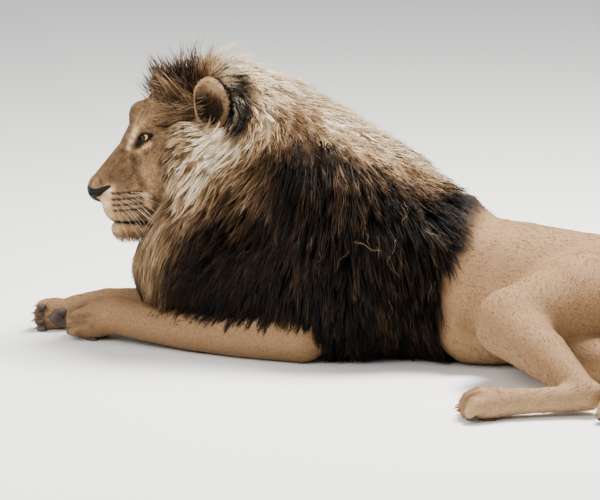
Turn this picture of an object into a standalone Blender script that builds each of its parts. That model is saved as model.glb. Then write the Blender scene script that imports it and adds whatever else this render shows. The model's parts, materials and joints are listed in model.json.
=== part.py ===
"""A life-size male lion lying with its forequarters up and its hindquarters rolled onto one haunch.

The lion faces -X with its left side towards -Y, and lies on the plane z = 0. Its flesh and coat are
modelled like clay: lumps with named places and radii are pressed together into a distance field,
the field is turned into a mesh, and the mesh is parted at named seams into the animal's parts.
"""

import math

import bmesh
import bpy
import numpy as np
import openvdb
from mathutils import Matrix, Vector

# ---- driving dimensions, metres ----
HEAD_TURN = math.radians(15.0)          # the head looks this far towards its own left
NOSE = (-0.489, -0.093, 0.372)          # tip of the nose
GAP = 0.0003                            # clearance between neighbouring parts
EYE_RADIUS = 0.0200
EYE_PLACE = (0.1500, 0.0480, 0.1260)    # back from the nose, out to the side, up
SPARE = 0.012                           # stock left beyond a seam until it is cut true
FAR = 1.0                               # field value where there is no clay

BODY_GRAIN = 0.011                      # field spacing of the large forms
HEAD_GRAIN = 0.005
LIMB_GRAIN = 0.006
EAR_GRAIN = 0.0025

# Frames: an origin and three axes. Head places read (back from the nose, out to the left, up).
WORLD = (np.zeros(3), np.eye(3))
HEAD = (np.array(NOSE), np.array((
    (math.cos(HEAD_TURN), math.sin(HEAD_TURN), 0.0),
    (math.sin(HEAD_TURN), -math.cos(HEAD_TURN), 0.0),
    (0.0, 0.0, 1.0))))


# ---------------------------------------------------------------- lumps of clay

def placed(frame, point):
    """A point of a frame, in world coordinates."""
    origin, axes = frame
    return origin + np.asarray(point, dtype=float) @ axes


def lump(frame, low, high, distance, blend):
    return {"frame": frame, "low": np.asarray(low), "high": np.asarray(high),
            "distance": distance, "blend": blend}


def egg(centre, radii, blend=0.03, frame=WORLD, turn=(0.0, 0.0, 0.0)):
    """An ellipsoid, turned by Euler angles in degrees."""
    centre = np.asarray(centre, dtype=float)
    radii = np.asarray(radii, dtype=float)
    angles = [math.radians(angle) for angle in turn]
    spin = np.array(Matrix.Rotation(angles[2], 3, "Z") @ Matrix.Rotation(angles[1], 3, "Y")
                    @ Matrix.Rotation(angles[0], 3, "X"))
    reach = np.abs(spin) @ radii

    def distance(points):
        local = (points - centre) @ spin
        near = np.linalg.norm(local / radii, axis=1)
        slope = np.linalg.norm(local / radii ** 2, axis=1)
        return near * (near - 1.0) / np.maximum(slope, 1e-6)

    return lump(frame, centre - reach, centre + reach, distance, blend)


def limb(stations, blend=0.03, frame=WORLD, flat=(1.0, 1.0, 1.0)):
    """A chain of tapered round bars through (x, y, z, radius) stations, thickened along its axes."""
    stations = np.asarray(stations, dtype=float)
    stretch = np.asarray(flat, dtype=float)
    centres, radii = stations[:, :3], stations[:, 3]
    reach = radii[:, None] * stretch

    def distance(points):
        best = np.full(len(points), FAR)
        for a, b, ra, rb in zip(centres[:-1], centres[1:], radii[:-1], radii[1:]):
            axis = (b - a) / stretch
            away = (points - a) / stretch
            along = np.clip(away @ axis / (axis @ axis), 0.0, 1.0)
            spread = np.linalg.norm(away - along[:, None] * axis, axis=1)
            best = np.minimum(best, spread - (ra + along * (rb - ra)))
        return best

    return lump(frame, (centres - reach).min(0), (centres + reach).max(0), distance, blend)


def both_sides(make, *args, **words):
    """The same lump on the left and on the right of a frame whose second axis points left."""
    first = np.array(args[0], dtype=float)
    other = first.copy()
    other[..., 1] *= -1.0
    turn = words.get("turn", (0.0, 0.0, 0.0))
    mirrored = dict(words)
    if "turn" in words:
        mirrored["turn"] = (-turn[0], turn[1], -turn[2])
    return [make(first, *args[1:], **words), make(other, *args[1:], **mirrored)]


# ---------------------------------------------------------------- the animal's forms

def head_forms():
    """Face and skull, without the lower jaw and the ears."""
    forms = [
        egg((0.275, 0.0, 0.130), (0.130, 0.105, 0.122), frame=HEAD),                # brain case
        limb([(0.034, 0.0, 0.000, 0.030), (0.113, 0.0, 0.077, 0.043),
              (0.158, 0.0, 0.144, 0.053), (0.210, 0.0, 0.176, 0.070),
              (0.300, 0.0, 0.165, 0.088)], blend=0.02, frame=HEAD),                  # bridge and brow
        egg((0.133, 0.0, 0.172), (0.031, 0.046, 0.030), blend=0.02, frame=HEAD),     # stop of the brow
        limb([(0.080, 0.0, -0.030, 0.046), (0.170, 0.0, 0.010, 0.070),
              (0.270, 0.0, 0.020, 0.095)], blend=0.03, frame=HEAD),                  # upper jaw
        egg((0.024, 0.0, -0.010), (0.023, 0.033, 0.027), blend=0.012, frame=HEAD),   # nose leather
    ]
    forms += both_sides(egg, (0.083, 0.030, -0.046), (0.045, 0.031, 0.042), blend=0.016,
                        frame=HEAD, turn=(0.0, 12.0, 0.0))                           # whisker pads
    forms += both_sides(egg, (0.120, 0.038, -0.030), (0.052, 0.030, 0.045), blend=0.03,
                        frame=HEAD)                                                  # upper lips
    forms += both_sides(egg, (0.142, 0.048, 0.160), (0.036, 0.022, 0.018), blend=0.02,
                        frame=HEAD, turn=(0.0, -35.0, 32.0))                         # brows
    forms += both_sides(egg, (0.198, 0.046, 0.165), (0.058, 0.042, 0.060), blend=0.03,
                        frame=HEAD)                                                  # forehead
    forms += both_sides(egg, (0.208, 0.080, 0.064), (0.074, 0.036, 0.054), blend=0.04,
                        frame=HEAD, turn=(0.0, 0.0, 30.0))                           # cheekbones
    forms += both_sides(egg, (0.240, 0.070, -0.010), (0.080, 0.050, 0.085), blend=0.04,
                        frame=HEAD)                                                  # chewing muscles
    return forms


def head_hollows():
    """The hollows that the eyes lie in."""
    back, out, up = EYE_PLACE
    return both_sides(egg, (back - 0.010, out + 0.032, up), (0.030, 0.017, 0.013), blend=0.016,
                      frame=HEAD, turn=(0.0, -8.0, 40.0))


def jaw_forms():
    forms = [
        egg((0.086, 0.0, -0.105), (0.030, 0.030, 0.021), blend=0.01, frame=HEAD),    # chin
        limb([(0.088, 0.0, -0.102, 0.019), (0.150, 0.0, -0.105, 0.024),
              (0.200, 0.0, -0.090, 0.038)], blend=0.02, frame=HEAD),
    ]
    forms += both_sides(limb, [(0.086, 0.012, -0.101, 0.017), (0.150, 0.040, -0.096, 0.024),
                               (0.210, 0.062, -0.075, 0.038)], blend=0.015, frame=HEAD)
    return forms


def ear_forms(side):
    """One round ear: a cup that opens forwards and outwards."""
    return [egg((0.302, side * 0.128, 0.220), (0.047, 0.030, 0.066), blend=0.01, frame=HEAD,
                turn=(side * -12.0, -8.0, side * 14.0)),
            limb([(0.300, side * 0.100, 0.160, 0.040), (0.302, side * 0.118, 0.190, 0.036)],
                 blend=0.02, frame=HEAD)]


def ear_hollow(side):
    return [egg((0.288, side * 0.151, 0.224), (0.034, 0.026, 0.050), blend=0.008, frame=HEAD,
                turn=(side * -12.0, -8.0, side * 22.0))]


def crown_forms():
    """The upright hair on top of the head, from the forelock to behind the ears."""
    forms = [
        limb([(0.138, 0.0, 0.292, 0.020), (0.168, 0.0, 0.268, 0.040), (0.225, 0.0, 0.290, 0.060),
              (0.285, 0.0, 0.270, 0.082), (0.345, 0.0, 0.225, 0.090)], blend=0.02, frame=HEAD),
    ]
    forms += both_sides(limb, [(0.195, 0.045, 0.225, 0.045), (0.270, 0.070, 0.235, 0.060),
                               (0.345, 0.085, 0.210, 0.080)], blend=0.03, frame=HEAD)
    return forms


def body_forms():
    """Neck, mane, chest and trunk down to the loin."""
    forms = [
        limb([(-0.165, -0.010, 0.455, 0.180), (-0.100, 0.000, 0.452, 0.200),
              (0.020, 0.000, 0.385, 0.206), (0.150, 0.000, 0.300, 0.215),
              (0.290, 0.000, 0.235, 0.186)], blend=0.04, flat=(1.0, 1.1, 1.0)),      # nape to withers
        limb([(0.320, 0.000, 0.330, 0.085), (0.395, 0.004, 0.345, 0.046)], blend=0.03),  # mane's end
        limb([(-0.205, -0.020, 0.300, 0.165), (-0.225, -0.038, 0.205, 0.165),
              (-0.050, -0.010, 0.160, 0.200)], blend=0.05),                          # throat mane
        limb([(-0.060, 0.000, 0.150, 0.200), (0.120, 0.000, 0.150, 0.225),
              (0.250, 0.000, 0.150, 0.195)], blend=0.06),                            # breast
        limb([(0.180, 0.000, 0.225, 0.200), (0.450, 0.000, 0.170, 0.160),
              (0.560, 0.006, 0.154, 0.146), (0.680, 0.010, 0.150, 0.136)], blend=0.03,
             flat=(1.0, 1.08, 1.0)),                                                 # barrel
        egg((0.460, -0.040, 0.110), (0.240, 0.180, 0.125), blend=0.05),              # belly
    ]
    forms += both_sides(egg, (0.262, 0.135, 0.050), (0.080, 0.090, 0.135), blend=0.05, frame=HEAD,
                        turn=(0.0, -12.0, 0.0))                                      # cheek ruff
    forms += both_sides(egg, (0.225, 0.090, -0.085), (0.066, 0.085, 0.085), blend=0.05,
                        frame=HEAD)                                                  # lower ruff
    forms += both_sides(egg, (0.130, 0.150, 0.190), (0.190, 0.115, 0.180), blend=0.06)   # shoulders
    return forms


def hindquarter_forms():
    """The pelvis, rolled so that the spine lies towards +Y."""
    return [
        limb([(0.560, 0.006, 0.160, 0.152), (0.680, 0.010, 0.155, 0.142),
              (0.850, 0.015, 0.145, 0.140)], blend=0.04),
        egg((0.840, 0.010, 0.140), (0.180, 0.170, 0.150), blend=0.05),
    ]


def foreleg_forms(side):
    """Forearm and paw, stretched forward along the floor; the right paw lies rolled on its side."""
    if side > 0:
        stations = [(0.060, -0.182, 0.068, 0.076), (-0.080, -0.178, 0.056, 0.062),
                    (-0.220, -0.158, 0.052, 0.053), (-0.330, -0.136, 0.056, 0.048),
                    (-0.405, -0.118, 0.066, 0.050), (-0.450, -0.105, 0.058, 0.047)]
        paw = [egg((-0.482, -0.094, 0.046), (0.066, 0.060, 0.050), blend=0.02, turn=(0, 0, 15.0))]
        for toe in range(4):
            across = -0.139 + 0.031 * toe
            ahead = -0.512 + 0.012 * abs(toe - 1.5)
            paw.append(limb([(ahead + 0.030, across, 0.060, 0.021), (ahead, across, 0.052, 0.020),
                             (ahead - 0.018, across, 0.026, 0.018)], blend=0.010))
    else:
        stations = [(-0.040, 0.158, 0.068, 0.076), (-0.160, 0.132, 0.056, 0.062),
                    (-0.300, 0.090, 0.050, 0.053), (-0.400, 0.055, 0.050, 0.047),
                    (-0.480, 0.030, 0.050, 0.047), (-0.545, 0.002, 0.042, 0.042)]
        paw = [egg((-0.592, -0.024, 0.036), (0.058, 0.036, 0.040), blend=0.02, turn=(0, 0, 28.0))]
        for toe in range(4):
            up = 0.006 + 0.0185 * toe
            ahead = 0.007 * abs(toe - 1.5)
            paw.append(limb([(ahead - 0.602, -0.020, up, 0.017), (ahead - 0.624, -0.036, up, 0.018),
                             (ahead - 0.632, -0.058, up, 0.015)], blend=0.008))
    return [limb(stations, blend=0.03)] + paw


def hindleg_forms(side):
    if side > 0:
        thigh = [limb([(0.860, -0.030, 0.170, 0.138), (0.710, -0.155, 0.165, 0.124),
                       (0.588, -0.262, 0.148, 0.082)], blend=0.04)]
        shank = [(0.572, -0.285, 0.140, 0.076), (0.680, -0.385, 0.102, 0.060),
                 (0.785, -0.485, 0.055, 0.037), (0.812, -0.500, 0.048, 0.032)]
        foot = [(0.800, -0.498, 0.040, 0.034), (0.690, -0.545, 0.036, 0.032),
                (0.620, -0.575, 0.036, 0.036)]
        toes, heading = (0.585, -0.590), math.atan2(-0.11, -0.27)
    else:
        thigh = [limb([(0.880, 0.000, 0.110, 0.125), (0.760, -0.120, 0.080, 0.095),
                       (0.680, -0.210, 0.070, 0.070)], blend=0.04)]
        shank = [(0.680, -0.220, 0.068, 0.066), (0.830, -0.270, 0.060, 0.054),
                 (0.945, -0.308, 0.050, 0.037), (0.975, -0.315, 0.046, 0.032)]
        foot = [(0.968, -0.318, 0.040, 0.034), (0.930, -0.430, 0.036, 0.032),
                (0.905, -0.510, 0.036, 0.036)]
        toes, heading = (0.895, -0.545), math.atan2(-0.27, -0.09)
    forms = thigh + [limb(shank, blend=0.03), limb(foot, blend=0.02)]
    forward = np.array((math.cos(heading), math.sin(heading)))
    across = np.array((-forward[1], forward[0]))
    forms.append(egg((toes[0], toes[1], 0.036), (0.058, 0.050, 0.040), blend=0.02,
                     turn=(0.0, 0.0, math.degrees(heading))))
    for toe in range(4):
        aside = toe - 1.5
        place = np.array(toes) + across * (0.027 * aside) + forward * (0.028 - 0.008 * abs(aside))
        tip = place + forward * 0.020
        forms.append(limb([(place[0], place[1], 0.040, 0.018), (tip[0], tip[1], 0.022, 0.016)],
                          blend=0.010))
    return forms


TAIL = [(0.960, 0.030, 0.110, 0.055), (1.040, 0.045, 0.052, 0.038), (1.110, 0.045, 0.024, 0.029),
        (1.220, 0.020, 0.024, 0.025), (1.320, -0.045, 0.020, 0.021), (1.400, -0.150, 0.018, 0.019),
        (1.440, -0.270, 0.017, 0.018), (1.445, -0.360, 0.017, 0.018)]
TUFT = [(1.446, -0.350, 0.020, 0.022), (1.442, -0.420, 0.028, 0.033), (1.425, -0.490, 0.024, 0.028),
        (1.405, -0.550, 0.010, 0.012)]


def tail_forms():
    return [limb(TAIL, blend=0.02), limb(TUFT, blend=0.02)]


# ---------------------------------------------------------------- from clay to mesh

def smooth_union(first, second, blend):
    near = np.maximum(blend - np.abs(first - second), 0.0) / blend
    return np.minimum(first, second) - near * near * blend * 0.25


def clay_field(forms, hollows, grain):
    """Press the lumps together on a grid: the grid's corner and its distance field."""
    margin = 3.0 * grain
    corners = [placed(form["frame"], (x, y, z)) for form in forms
               for x in (form["low"][0], form["high"][0])
               for y in (form["low"][1], form["high"][1])
               for z in (form["low"][2], form["high"][2])]
    low = np.min(corners, axis=0) - margin - 0.02
    high = np.max(corners, axis=0) + margin + 0.02
    counts = np.ceil((high - low) / grain).astype(int) + 1
    field = np.full(counts, FAR)
    for form, hollow in [(form, False) for form in forms] + [(form, True) for form in hollows]:
        origin, axes = form["frame"]
        reach = form["blend"] + margin
        box = [placed(form["frame"], (x, y, z))
               for x in (form["low"][0] - reach, form["high"][0] + reach)
               for y in (form["low"][1] - reach, form["high"][1] + reach)
               for z in (form["low"][2] - reach, form["high"][2] + reach)]
        first = np.clip(np.floor((np.min(box, axis=0) - low) / grain).astype(int), 0, counts)
        last = np.clip(np.ceil((np.max(box, axis=0) - low) / grain).astype(int) + 1, 0, counts)
        window = tuple(slice(a, b) for a, b in zip(first, last))
        steps = np.stack(np.meshgrid(*(np.arange(a, b) for a, b in zip(first, last)),
                                     indexing="ij"), axis=-1)
        points = (low + steps.reshape(-1, 3) * grain - origin) @ axes.T
        distance = form["distance"](points).reshape(steps.shape[:3])
        if hollow:
            field[window] = -smooth_union(-field[window], distance, form["blend"])
        else:
            field[window] = smooth_union(field[window], distance, form["blend"])
    return low, field


def clay_mesh(name, forms, grain, hollows=(), swell=0.0):
    """An object with the surface of the pressed clay, or one a little outside it."""
    low, field = clay_field(forms, hollows, grain)
    grid = openvdb.FloatGrid(background=FAR)
    grid.copyFromArray(field.astype(np.float32))
    points, quads = grid.convertToQuads(swell)
    mesh = bpy.data.meshes.new(name)
    mesh.from_pydata((points * grain + low).tolist(), [], quads.tolist())
    work = bmesh.new()
    work.from_mesh(mesh)
    bmesh.ops.recalc_face_normals(work, faces=work.faces)
    if work.calc_volume(signed=True) < 0.0:
        bmesh.ops.reverse_faces(work, faces=work.faces)
    work.to_mesh(mesh)
    work.free()
    thing = bpy.data.objects.new("clay_" + name, mesh)
    bpy.context.scene.collection.objects.link(thing)
    return thing


def trim(thing, seam, extra=0.0):
    """Cut away what lies beyond a seam, a point and the direction that is cut away, and close it."""
    point, away = Vector(seam[0]), Vector(seam[1]).normalized()
    work = bmesh.new()
    work.from_mesh(thing.data)
    bmesh.ops.bisect_plane(work, geom=work.verts[:] + work.edges[:] + work.faces[:],
                           plane_co=point + away * extra, plane_no=away, clear_outer=True,
                           dist=1e-6)
    rim = [edge for edge in work.edges if edge.is_boundary]
    bmesh.ops.holes_fill(work, edges=rim, sides=0)
    bmesh.ops.dissolve_degenerate(work, edges=work.edges, dist=2e-5)
    bmesh.ops.triangulate(work, faces=work.faces)
    work.to_mesh(thing.data)
    work.free()


def apply_modifier(thing, kind, **settings):
    modifier = thing.modifiers.new(kind, kind)
    for key, value in settings.items():
        setattr(modifier, key, value)
    graph = bpy.context.evaluated_depsgraph_get()
    mesh = bpy.data.meshes.new_from_object(thing.evaluated_get(graph))
    thing.modifiers.clear()
    thing.data = mesh


def thin_out(thing, triangles):
    """Triangulate a dense mesh and bring it down to about a number of triangles."""
    work = bmesh.new()
    work.from_mesh(thing.data)
    bmesh.ops.triangulate(work, faces=work.faces)
    count = len(work.faces)
    work.to_mesh(thing.data)
    work.free()
    apply_modifier(thing, "DECIMATE", ratio=min(1.0, triangles / count))


def swollen(form, by):
    """A mesh as an object whose faces all lie a little further out, to cut its neighbour with."""
    mesh = form.copy()
    work = bmesh.new()
    work.from_mesh(mesh)
    work.normal_update()
    moves = []
    for vertex in work.verts:
        normals = np.array([face.normal[:] for face in vertex.link_faces])
        move = np.linalg.lstsq(normals, np.full(len(normals), by), rcond=0.08)[0]
        length = np.linalg.norm(move)
        moves.append(Vector(move * min(1.0, 6.0 * by / max(length, 1e-9))))
    for vertex, move in zip(work.verts, moves):
        vertex.co += move
    work.to_mesh(mesh)
    work.free()
    copy = bpy.data.objects.new("cutter", mesh)
    bpy.context.scene.collection.objects.link(copy)
    return copy


def largest_piece(thing):
    work = bmesh.new()
    work.from_mesh(thing.data)
    left = set(work.faces)
    pieces = []
    while left:
        seed = left.pop()
        piece, edge = {seed}, [seed]
        while edge:
            face = edge.pop()
            for side in face.edges:
                for other in side.link_faces:
                    if other in left:
                        left.discard(other)
                        piece.add(other)
                        edge.append(other)
        pieces.append(piece)
    keep = max(pieces, key=lambda piece: sum(face.calc_area() for face in piece))
    bmesh.ops.delete(work, geom=[face for face in work.faces if face not in keep], context="FACES")
    work.to_mesh(thing.data)
    work.free()


def is_closed(thing):
    work = bmesh.new()
    work.from_mesh(thing.data)
    closed = all(edge.is_manifold for edge in work.edges)
    work.free()
    return closed


def carve(thing, forms):
    """Make room in a part for whole forms that lie in it, with the first clearance that closes."""
    for form in forms:
        whole = thing.data
        for clearance in (1.6 * GAP, 1.9 * GAP, 2.3 * GAP, 1.3 * GAP, 2.8 * GAP):
            cutter = swollen(form, clearance)
            thing.data = whole.copy()
            apply_modifier(thing, "BOOLEAN", object=cutter, operation="DIFFERENCE",
                           solver="EXACT", use_self=True)
            bpy.data.objects.remove(cutter)
            largest_piece(thing)
            if is_closed(thing):
                break
        else:
            raise RuntimeError(f"{thing.name} doesn't close round {form.name}")


# ---------------------------------------------------------------- seams and parts

SEAMS = {                               # a point, and the direction of the side named "ahead"
    "nape": (tuple(placed(HEAD, (0.305, 0.0, 0.1))), tuple(-HEAD[1][0])),
    "neck": ((-0.100, 0.0, 0.350), (-0.88, 0.0, 0.47)),
    "trunk": ((0.360, 0.0, 0.2), (-1.0, 0.0, 0.0)),
    "haunch": ((0.660, 0.0, 0.2), (-1.0, 0.0, 0.0)),
    "shoulder_left": ((0.0, -0.140, 0.2), (0.0, -1.0, 0.0)),
    "shoulder_right": ((0.0, 0.140, 0.2), (0.0, 1.0, 0.0)),
    "wrist_left": ((-0.440, -0.108, 0.05), (-0.955, 0.30, 0.0)),
    "wrist_right": ((-0.540, 0.002, 0.05), (-0.90, -0.43, 0.0)),
    "stifle_left": ((0.575, -0.280, 0.14), (0.02, 1.0, 0.0)),
    "stifle_right": ((0.680, -0.217, 0.07), (-0.24, 0.97, 0.0)),
    "hock_left": ((0.790, -0.490, 0.05), (0.17, 0.98, 0.0)),
    "hock_right": ((0.965, -0.312, 0.05), (-0.456, 0.89, 0.0)),
    "tail_root": ((1.130, 0.045, 0.03), (-1.0, 0.10, 0.0)),
    "tail_bend": ((1.360, -0.090, 0.02), (-0.60, 0.80, 0.0)),
    "tail_tuft": ((1.445, -0.365, 0.02), (0.0, 1.0, 0.0)),
}
FLOOR = ((0.0, 0.0, 0.0), (0.0, 0.0, -1.0))
EAR_ROOM = 0.0042                       # clearance of the hair round the ears
EAR_ROOM_TRIANGLES = 140

COAT = (0.52, 0.37, 0.21)
PALE = (0.70, 0.56, 0.38)
DARK_MANE = (0.10, 0.065, 0.04)
MANE = (0.40, 0.27, 0.15)

# Each part: its clay, the sides of the seams it lies on, its triangles and its colour.
PARTS = {
    "jaw": ("jaw", (), 180, PALE),
    "head": ("head", (("nape", 1),), 860, COAT),
    "ear_left": ("ear_left", (), 150, COAT),
    "ear_right": ("ear_right", (), 150, COAT),
    "mane_crown": ("crown", (), 240, MANE),
    "foreleg_left_forearm": ("foreleg_left", (("wrist_left", -1),), 150, COAT),
    "foreleg_left_paw": ("foreleg_left", (("wrist_left", 1),), 270, COAT),
    "foreleg_right_forearm": ("foreleg_right", (("wrist_right", -1),), 150, COAT),
    "foreleg_right_paw": ("foreleg_right", (("wrist_right", 1),), 270, COAT),
    "neck": ("body", (("neck", 1),), 420, DARK_MANE),
    "chest": ("body", (("neck", -1), ("trunk", 1), ("shoulder_left", -1), ("shoulder_right", -1)),
              200, DARK_MANE),
    "shoulder_left": ("body", (("neck", -1), ("trunk", 1), ("shoulder_left", 1)), 130, DARK_MANE),
    "shoulder_right": ("body", (("neck", -1), ("trunk", 1), ("shoulder_right", 1)), 130, DARK_MANE),
    "hindleg_left_thigh": ("hindleg_left", (("stifle_left", 1),), 140, COAT),
    "hindleg_left_shank": ("hindleg_left", (("stifle_left", -1), ("hock_left", 1)), 100, COAT),
    "hindleg_left_foot": ("hindleg_left", (("stifle_left", -1), ("hock_left", -1)), 250, COAT),
    "hindleg_right_thigh": ("hindleg_right", (("stifle_right", 1),), 140, COAT),
    "hindleg_right_shank": ("hindleg_right", (("stifle_right", -1), ("hock_right", 1)), 100, COAT),
    "hindleg_right_foot": ("hindleg_right", (("stifle_right", -1), ("hock_right", -1)), 250, COAT),
    "trunk": ("body", (("trunk", -1), ("haunch", 1)), 180, COAT),
    "hindquarters": ("body", (("haunch", -1),), 230, COAT),
    "tail_base": ("tail", (("tail_root", 1),), 80, COAT),
    "tail_middle": ("tail", (("tail_root", -1), ("tail_bend", 1)), 80, COAT),
    "tail_end": ("tail", (("tail_bend", -1), ("tail_tuft", 1)), 70, COAT),
    "tail_tuft": ("tail", (("tail_tuft", -1),), 90, DARK_MANE),
}

# Each part makes room for the whole forms that it is listed with.
ROOM = {
    "head": ("eye_left", "eye_right", "jaw"),
    "ear_left": ("head",),
    "ear_right": ("head",),
    "mane_crown": ("head", "ear_room_left", "ear_room_right", "neck"),
    "foreleg_right_paw": ("foreleg_left_paw", "foreleg_left_forearm"),
    "foreleg_right_forearm": ("foreleg_left_paw", "foreleg_left_forearm"),
    "neck": ("head", "jaw", "ear_room_left", "ear_room_right",
             "foreleg_left_forearm", "foreleg_right_forearm"),
    "chest": ("foreleg_left_forearm", "foreleg_right_forearm"),
    "shoulder_left": ("foreleg_left_forearm",),
    "shoulder_right": ("foreleg_right_forearm",),
    "hindleg_right_thigh": ("hindleg_left_thigh", "hindleg_left_shank"),
    "hindleg_right_shank": ("hindleg_left_thigh", "hindleg_left_shank"),
    "trunk": ("hindleg_left_thigh", "hindleg_right_thigh", "hindleg_left_shank",
              "hindleg_right_shank"),
    "hindquarters": ("hindleg_left_thigh", "hindleg_right_thigh", "hindleg_right_shank"),
    "tail_base": ("hindquarters", "hindleg_left_thigh", "hindleg_right_thigh"),
}


def clays():
    """The undivided forms, each as one dense mesh."""
    blocks = {
        "body": clay_mesh("body", body_forms() + hindquarter_forms(), BODY_GRAIN),
        "head": clay_mesh("head", head_forms(), HEAD_GRAIN, head_hollows()),
        "jaw": clay_mesh("jaw", jaw_forms(), HEAD_GRAIN),
        "crown": clay_mesh("crown", crown_forms(), LIMB_GRAIN),
        "tail": clay_mesh("tail", tail_forms(), LIMB_GRAIN),
    }
    for name, side in (("left", 1), ("right", -1)):
        blocks["ear_" + name] = clay_mesh("ear", ear_forms(side), EAR_GRAIN, ear_hollow(side))
        blocks["ear_room_" + name] = clay_mesh("ear_room", ear_forms(side), EAR_GRAIN,
                                               swell=EAR_ROOM)
        blocks["foreleg_" + name] = clay_mesh("foreleg", foreleg_forms(side), LIMB_GRAIN)
        blocks["hindleg_" + name] = clay_mesh("hindleg", hindleg_forms(side), LIMB_GRAIN)
    return blocks


def make_part(name, block, seams, triangles):
    """A part of a block of clay: roughly parted, thinned out, then cut true at its seams."""
    thing = bpy.data.objects.new(name, block.data.copy())
    bpy.context.scene.collection.objects.link(thing)
    cuts = []
    for seam, side in seams:
        point, ahead = SEAMS[seam]
        cuts.append((point, tuple(-side * value for value in ahead)))
    cuts.append(FLOOR)
    for cut in cuts:
        trim(thing, cut, SPARE)
    thin_out(thing, triangles)
    for cut in cuts:
        trim(thing, cut, -GAP / 2 if cut is not FLOOR else 0.0)
    return thing


def make_eye(name, side):
    mesh = bpy.data.meshes.new(name)
    work = bmesh.new()
    bmesh.ops.create_uvsphere(work, u_segments=12, v_segments=7, radius=EYE_RADIUS)
    bmesh.ops.triangulate(work, faces=work.faces)
    back, out, up = EYE_PLACE
    bmesh.ops.translate(work, verts=work.verts, vec=placed(HEAD, (back, side * out, up)))
    work.to_mesh(mesh)
    work.free()
    thing = bpy.data.objects.new(name, mesh)
    bpy.context.scene.collection.objects.link(thing)
    return thing


def paint(thing, colour, roughness=0.85):
    material = bpy.data.materials.new(thing.name)
    material.use_nodes = True
    shader = material.node_tree.nodes["Principled BSDF"]
    shader.inputs["Base Color"].default_value = (*colour, 1.0)
    shader.inputs["Roughness"].default_value = roughness
    thing.data.materials.clear()
    thing.data.materials.append(material)


def centre_on_floor(things):
    """Move everything so that the middle of the whole animal's box stands on the origin."""
    corners = [vertex.co for thing in things for vertex in thing.data.vertices]
    middle = Vector([(min(c[i] for c in corners) + max(c[i] for c in corners)) / 2 for i in (0, 1)]
                    + [0.0])
    for thing in things:
        thing.data.transform(Matrix.Translation(-middle))


def main():
    for thing in list(bpy.data.objects):
        bpy.data.objects.remove(thing, do_unlink=True)
    made = {"eye_left": make_eye("eye_left", 1), "eye_right": make_eye("eye_right", -1)}
    for eye in made.values():
        paint(eye, (0.45, 0.27, 0.08), roughness=0.15)
    blocks = clays()
    for name, (block, seams, triangles, colour) in PARTS.items():
        made[name] = make_part(name, blocks[block], seams, triangles)
    for name in ("ear_room_left", "ear_room_right"):
        thin_out(blocks[name], EAR_ROOM_TRIANGLES)
    whole = {name: thing.data.copy() for name, thing in {**blocks, **made}.items()}
    for name, neighbours in ROOM.items():
        carve(made[name], [whole[neighbour] for neighbour in neighbours])
    for name, (block, seams, triangles, colour) in PARTS.items():
        paint(made[name], colour)
    for block in blocks.values():
        bpy.data.objects.remove(block)
    centre_on_floor(list(made.values()))


if __name__ == "__main__":
    main()
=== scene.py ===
"""A life-size male lion lying down: skin, eyes, nose, pads, claws, whiskers and coat over its solids."""

import json
import math

import bpy
import numpy as np
import openvdb
from mathutils import Matrix, Vector

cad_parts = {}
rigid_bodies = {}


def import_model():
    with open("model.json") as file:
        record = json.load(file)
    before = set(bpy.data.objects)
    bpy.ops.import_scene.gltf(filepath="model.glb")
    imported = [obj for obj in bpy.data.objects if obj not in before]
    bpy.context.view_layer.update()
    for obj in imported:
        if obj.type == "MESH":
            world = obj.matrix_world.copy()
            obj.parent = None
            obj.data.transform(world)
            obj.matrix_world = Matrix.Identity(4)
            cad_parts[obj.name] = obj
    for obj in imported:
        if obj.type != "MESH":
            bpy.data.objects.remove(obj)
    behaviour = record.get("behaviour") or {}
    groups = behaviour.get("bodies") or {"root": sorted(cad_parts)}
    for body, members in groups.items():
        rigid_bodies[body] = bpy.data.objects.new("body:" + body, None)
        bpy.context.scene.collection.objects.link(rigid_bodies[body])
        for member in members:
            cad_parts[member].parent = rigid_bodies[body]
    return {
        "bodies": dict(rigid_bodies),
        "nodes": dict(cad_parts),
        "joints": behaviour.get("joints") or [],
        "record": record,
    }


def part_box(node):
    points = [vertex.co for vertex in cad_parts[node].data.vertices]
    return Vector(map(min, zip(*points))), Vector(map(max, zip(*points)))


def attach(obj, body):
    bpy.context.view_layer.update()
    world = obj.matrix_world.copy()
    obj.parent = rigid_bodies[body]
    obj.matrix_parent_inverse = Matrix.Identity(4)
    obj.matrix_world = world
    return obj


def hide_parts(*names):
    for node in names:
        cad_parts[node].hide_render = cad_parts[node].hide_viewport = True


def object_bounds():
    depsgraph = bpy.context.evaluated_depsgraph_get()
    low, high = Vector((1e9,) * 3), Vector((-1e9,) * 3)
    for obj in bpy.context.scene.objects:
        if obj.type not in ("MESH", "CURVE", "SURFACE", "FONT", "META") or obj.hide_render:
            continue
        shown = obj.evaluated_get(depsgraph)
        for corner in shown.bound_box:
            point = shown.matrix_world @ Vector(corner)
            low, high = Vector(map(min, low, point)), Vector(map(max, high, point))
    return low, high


bl_info = {
    "name": "Lying lion",
    "version": (1, 0, 0),
    "blender": (4, 5, 0),
    "location": "3D View > Sidebar > Lion",
    "description": "Skin, eyes and coat of a life-size male lion that lies on the floor",
    "category": "Object",
}

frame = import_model()
bpy.ops.object.select_all(action="DESELECT")
CAD_BOX = [list(corner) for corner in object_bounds()]

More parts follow.
